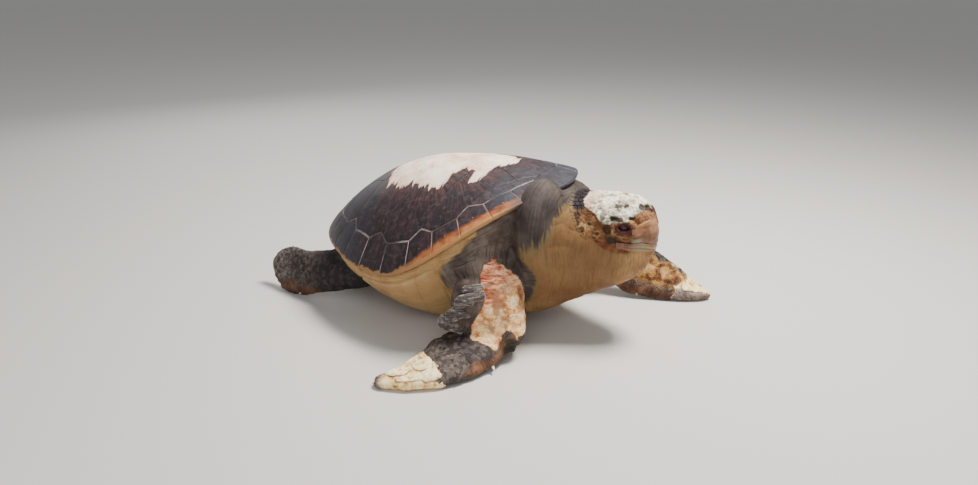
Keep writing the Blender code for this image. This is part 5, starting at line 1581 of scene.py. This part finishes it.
def buildPlastron():
    # The part of the underside from bridgeStart inwards, grooved by a bell of the distance to the nearest
    # seam
    s, side = roundTheRim(plastron["columns"] // 2)
    start = bridgeStart(s)
    share = np.linspace(0, 1, plastron["rows"])
    outer = np.array([underSide(s, side, start + (1 - start) * k) for k in share])
    normals = gridNormals(outer)
    normals[-1] = (0, 0, -1)
    x, y = outer[..., 0], outer[..., 1]
    seam = np.abs(y) + 0.002 * np.sin(x * 60)
    for line in plastron["across"]:
        seam = np.minimum(seam, np.abs(x - line - 0.1 * np.abs(y) * np.sign(line)))
    reach = reachOf(unsettled(outer.reshape(-1, 3))[:, :2]).reshape(x.shape)
    seam = np.minimum(seam, np.where(share[:, None] < 0.9, np.abs(reach - plastron["bridge"][0]) * 0.3, 9))
    for line in plastron["bridgeSeams"]:
        seam = np.minimum(seam, np.where(reach > plastron["bridge"][0], np.abs(s - line)[None] * 1.3, 9))
    spots = outer.reshape(-1, 3)
    relief = -plastron["groove"] * bell(seam, 0, 0.0022)
    lumps = 0.0008 * rough(spots, 0.05, 51, 3) + 0.0004 * rough(spots * (0.35, 1, 1), 0.01, 52, 2)
    relief += lumps.reshape(x.shape)
    relief -= 0.0006 + 0.0065 * (1 - smooth(share / 0.035))[:, None]
    outer = outer + normals * np.minimum(relief, 0.0008)[..., None]
    outer[..., 2] = np.maximum(outer[..., 2], 0.0)
    inner = outer[::4] - normals[::4] * belly["plate"]
    inner[0] = outer[0] - normals[0] * 0.003
    flatOut, flatIn = outer[-1] * (0.5, 0.5, 1), inner[-1] * (0.5, 0.5, 1)
    rings = np.array([flatOut, *outer[::-1], *inner, flatIn])
    mesh = bodyOfRings("plastronPlates", rings)
    below = np.full(len(s), 0.02)
    values = np.array([below, *seam[::-1], *seam[::4], below])
    setValue(mesh, "seam", np.concatenate([values.ravel(), [0.02, 0.02]]))
    f = Finish("plastronHorn", 0.5)
    streaks = f.noise(1.0, 6, f.stretched((7, 22, 30)), 0.65, 0.4)
    clouds = f.noise(6, 5, roughness=0.6)
    colour = f.blend(clouds, (0.3, (0.23, 0.115, 0.04)), (0.45, (0.4, 0.235, 0.09)),
                     (0.6, (0.5, 0.33, 0.145)), (0.75, (0.43, 0.27, 0.075)))
    colour = f.tint(colour, (0.27, 0.115, 0.04), f.step(streaks, 0.52, 0.68), 0.55)
    colour = f.tint(colour, (0.56, 0.42, 0.23), f.step(streaks, 0.46, 0.3), 0.35)
    colour = f.tint(colour, (0.18, 0.085, 0.032), f.step(f.value("seam"), 0.004, 0.0008), 0.35)
    colour = f.tint(colour, (0.2, 0.11, 0.06), f.step(f.noise(70, 5, roughness=0.7), 0.58, 0.72), 0.5)
    dull = f.plus(0.42, f.times(streaks, 0.25))
    place(mesh, f.done(colour, dull, f.plus(streaks, f.noise(80, 4)), 0.5, 0.0012), ["plastron"], "plastron")
    report("plastron")


# Scales: plates over the skin, each cut to the middle of the ways to its neighbours

scaleSets = [  # name, size, height, and which marking they cover
    dict(name="flipperScales", size=0.0105, height=0.0011, mark="scaly"),
    dict(name="cheekScales", size=0.015, height=0.0009, mark="cheek"),
    dict(name="crownPlates", size=0.026, height=0.0018, mark="back"),
]


def onSkin(points, body, lift=0.0):  # the nearest places on the skin, raised by lift along its normal
    probe = meshFrom("probe", points, [])
    result = modified(probe, "SHRINKWRAP", target=body, wrap_method="NEAREST_SURFACEPOINT",
                      wrap_mode="ABOVE_SURFACE" if lift else "ON_SURFACE", offset=lift)
    return pointsOf(result)


def spreadSeeds(points, size, rounds=3):
    # One point from each cube of the given size, then each moved to the mean of the points nearest to it
    cube = np.floor(points / (size * 0.86)).astype(np.int64) @ np.array([73856093, 19349663, 83492791])
    order = np.random.default_rng(5).permutation(len(points))
    seeds = points[order[np.unique(cube[order], return_index=True)[1]]]
    for _ in range(rounds):
        groups = np.array_split(points, 1 + len(points) * len(seeds) // 4000000)
        nearest = [((part[:, None] - seeds[None]) ** 2).sum(-1).argmin(1) for part in groups]
        nearest = np.concatenate(nearest)
        count = np.bincount(nearest, minlength=len(seeds))
        totals = np.stack([np.bincount(nearest, row, len(seeds)) for row in points.T], axis=1)
        seeds = totals[count > 3] / count[count > 3, None]
    return seeds


def buildScales(body, settings):
    # A seed for each scale; round it the edge is where a plane halfway to each neighbour is met, made
    # smooth by sum(closing**12)**(-1 / 12), and rings rise from there to a flat top that leans back
    points = pointsOf(body.data)
    m = markings(points)
    cover = m[settings["mark"]] > 0.5
    cover &= (m["peel"] > 0.003) & (m["tip"] < 0.5) & (m["sore"] < 0.3)
    cover &= (points[:, 2] > 0.004) & (m["crust"] < 0.4)
    if settings["mark"] == "scaly":
        cover &= (m["gum"] < 0.3) & (m["pale"] < 0.75)
    skinPoints = points[cover]
    seeds = onSkin(spreadSeeds(skinPoints, settings["size"]), body)
    up = unit(onSkin(seeds, body, 0.002) - seeds)
    aside = unit(np.cross(up, (0.31, 0.22, 0.92)))
    ahead = np.cross(up, aside)
    away = np.linalg.norm(seeds[:, None] - seeds[None], axis=-1)
    near = np.argsort(away, axis=1)[:, 1:11]
    gap = seeds[near] - seeds[:, None]
    east, north = np.einsum("ijk,ik->ij", gap, aside), np.einsum("ijk,ik->ij", gap, ahead)
    half = np.hypot(east, north) / 2
    bearing = np.arctan2(north, east)
    turn = fullTurn(16)
    closing = np.clip(np.cos(turn[None, :, None] - bearing[:, None, :]), 0.02, 1) / half[:, None, :]
    reach = np.minimum(np.sum(closing**12, axis=2) ** (-1 / 12), settings["size"] * 0.75) - 0.00035
    generator = np.random.default_rng(77)
    rings = []
    tallness = settings["height"] * generator.uniform(0.7, 1.2, len(seeds))
    flare = generator.uniform(-0.35, 0.35, (len(seeds), 1))
    for share, rise in ((1.0, -0.5), (0.97, 0.45), (0.86, 0.95), (0.55, 1.05), (0.15, 1.0)):
        plan = (seeds[:, None] + (reach * share * np.cos(turn))[..., None] * aside[:, None]
                + (reach * share * np.sin(turn))[..., None] * ahead[:, None])
        flat = onSkin(plan.reshape(-1, 3), body).reshape(plan.shape)
        tilt = 1 + flare * np.cos(turn) * share
        rings.append(flat + up[:, None] * (tallness[:, None] * rise * tilt)[..., None])
    rings = np.stack(rings, axis=1)
    count, rows, columns = rings.shape[:3]
    centre = rings[:, -1].mean(axis=1)
    below = seeds[:, None] - up[:, None] * 0.0006
    verts = np.concatenate([rings.reshape(count, -1, 3), centre[:, None], below], axis=1)
    quads = ringsToFaces(rows, columns)[0]
    size = rows * columns + 2
    k = np.arange(columns)
    low = np.stack([np.full(columns, size - 1), (k + 1) % columns, k], 1)
    top = (rows - 1) * columns
    high = np.stack([np.full(columns, size - 2), top + k, top + (k + 1) % columns], 1)
    offset = (np.arange(count) * size)[:, None, None]
    allQuads = (quads[None] + offset).reshape(-1, 4)
    allTris = np.concatenate([(low[None] + offset).reshape(-1, 3), (high[None] + offset).reshape(-1, 3)])
    flatPoints = verts.reshape(-1, 3)
    if volumeOf(flatPoints, allQuads, allTris) < 0:
        allQuads, allTris = allQuads[:, ::-1], allTris[:, ::-1]
    mesh = meshFrom(settings["name"], flatPoints, allQuads, allTris)
    marks = markings(flatPoints)
    for name in markNames:
        setValue(mesh, name, marks[name])
    setValue(mesh, "tone", np.repeat(generator.uniform(0, 1, count), size))
    level = np.concatenate([np.repeat([0.0, 0.25, 0.8, 1.0, 1.0], columns), [1.0, 0.0]])
    setValue(mesh, "level", np.tile(level, count))
    rootUv(mesh, seeds, settings["size"], verts, aside, ahead)
    report(f"{count} {settings['name']}, {len(mesh.polygons)} faces")
    return place(mesh, skinFinish(settings["name"], True))


def rootUv(mesh, seeds, wide, verts, aside, ahead):
    # The unwrap of the scales: one tile for each limb (length along, angle round) and one for the head and
    # neck (length, angle). Each scale is a patch 0.003 across at its root
    places = {name: limbPlace(name, seeds) for name in limbs}
    u, v = (seeds[:, 0] - 0.2) / 0.5 * 0.9, np.arctan2(seeds[:, 2] - 0.3, seeds[:, 1]) / (2 * math.pi) + 0.5
    u, v = 0.01 + 0.31 * np.clip(u, 0, 1), 0.01 + 0.31 * v
    for k, place in enumerate(places.values(), start=1):
        mine = (place["out"] < 1.6) & (place["share"] > 0)
        turn = np.arctan2(place["body"], place["across"]) / (2 * math.pi) + 0.5
        u = np.where(mine, (k % 3) / 3 + 0.01 + 0.31 * place["share"], u)
        v = np.where(mine, (k // 3) / 3 + 0.01 + 0.31 * turn, v)
    offset = verts - seeds[:, None]
    local = np.stack([np.einsum("ijk,ik->ij", offset, way) for way in (aside, ahead)], axis=-1)
    uv = np.stack([u, v], axis=1)[:, None] + local / wide * 0.0015
    layer = mesh.uv_layers.new(name="OFBake")
    corner = numbersOf(mesh.loops, "vertex_index", 1, np.int32)[:, 0]
    layer.data.foreach_set("uv", uv.reshape(-1, 2)[corner].astype(np.float32).ravel())


# Camera, light and floor

view = dict(spot=(1.164, -2.092, 1.1), heading=math.radians(26), down=math.radians(20.8), lens=29.26)


def setCamera():
    camera = inScene("camera", bpy.data.cameras.new("camera"))
    camera.location = view["spot"]
    flat = Vector((-math.sin(view["heading"]), math.cos(view["heading"]), 0)) * math.cos(view["down"])
    aim = flat + Vector((0, 0, -math.sin(view["down"])))
    camera.rotation_euler = aim.to_track_quat("-Z", "Y").to_euler()
    camera.data.sensor_width, camera.data.lens = 36, view["lens"]
    bpy.context.scene.camera = camera


def setStudio():  # a plain floor, three area lamps and an even sky
    corners = np.array([(-30, -30, 0), (30, -30, 0), (30, 30, 0), (-30, 30, 0)])
    floor = inScene("floor", meshFrom("floor", corners, [(0, 1, 2, 3)]))
    floor.data.materials.append(Finish("studioFloor", 0.8).done((0.62, 0.6, 0.57)))
    lamps = [  # name, place, aim, width, watts, colour
        ("sunLamp", (1.1, 0.6, 2.9), (0.0, 0.0, 0.2), 0.9, 225, (1.0, 0.955, 0.89)),
        ("fillLamp", (1.2, -3.2, 2.0), (0.1, 0.0, 0.2), 2.6, 44, (0.96, 0.97, 1.0)),
        ("backLamp", (-2.4, 1.8, 1.9), (0.0, 0.0, 0.2), 2.0, 30, (1.0, 0.97, 0.92)),
    ]
    for name, spot, aim, width, watts, colour in lamps:
        lamp = inScene(name, bpy.data.lights.new(name, "AREA"))
        lamp.location = spot
        lamp.rotation_euler = (Vector(aim) - Vector(spot)).to_track_quat("-Z", "Y").to_euler()
        lamp.data.size, lamp.data.energy, lamp.data.color = width, watts, colour
    world = bpy.data.worlds.new("studio")
    bpy.context.scene.world = world
    world.use_nodes = True
    sky = world.node_tree.nodes["Background"].inputs
    sky["Color"].default_value = (0.9, 0.92, 0.95, 1)
    sky["Strength"].default_value = 0.38


setCamera()
setStudio()
buildShell()
body = buildSkin()
for settings in scaleSets:
    buildScales(body, settings)
buildSlabs()
buildBlocks()
buildBeak()
buildEyes()
buildClaws()
buildPlastron()

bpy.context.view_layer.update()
report("done")
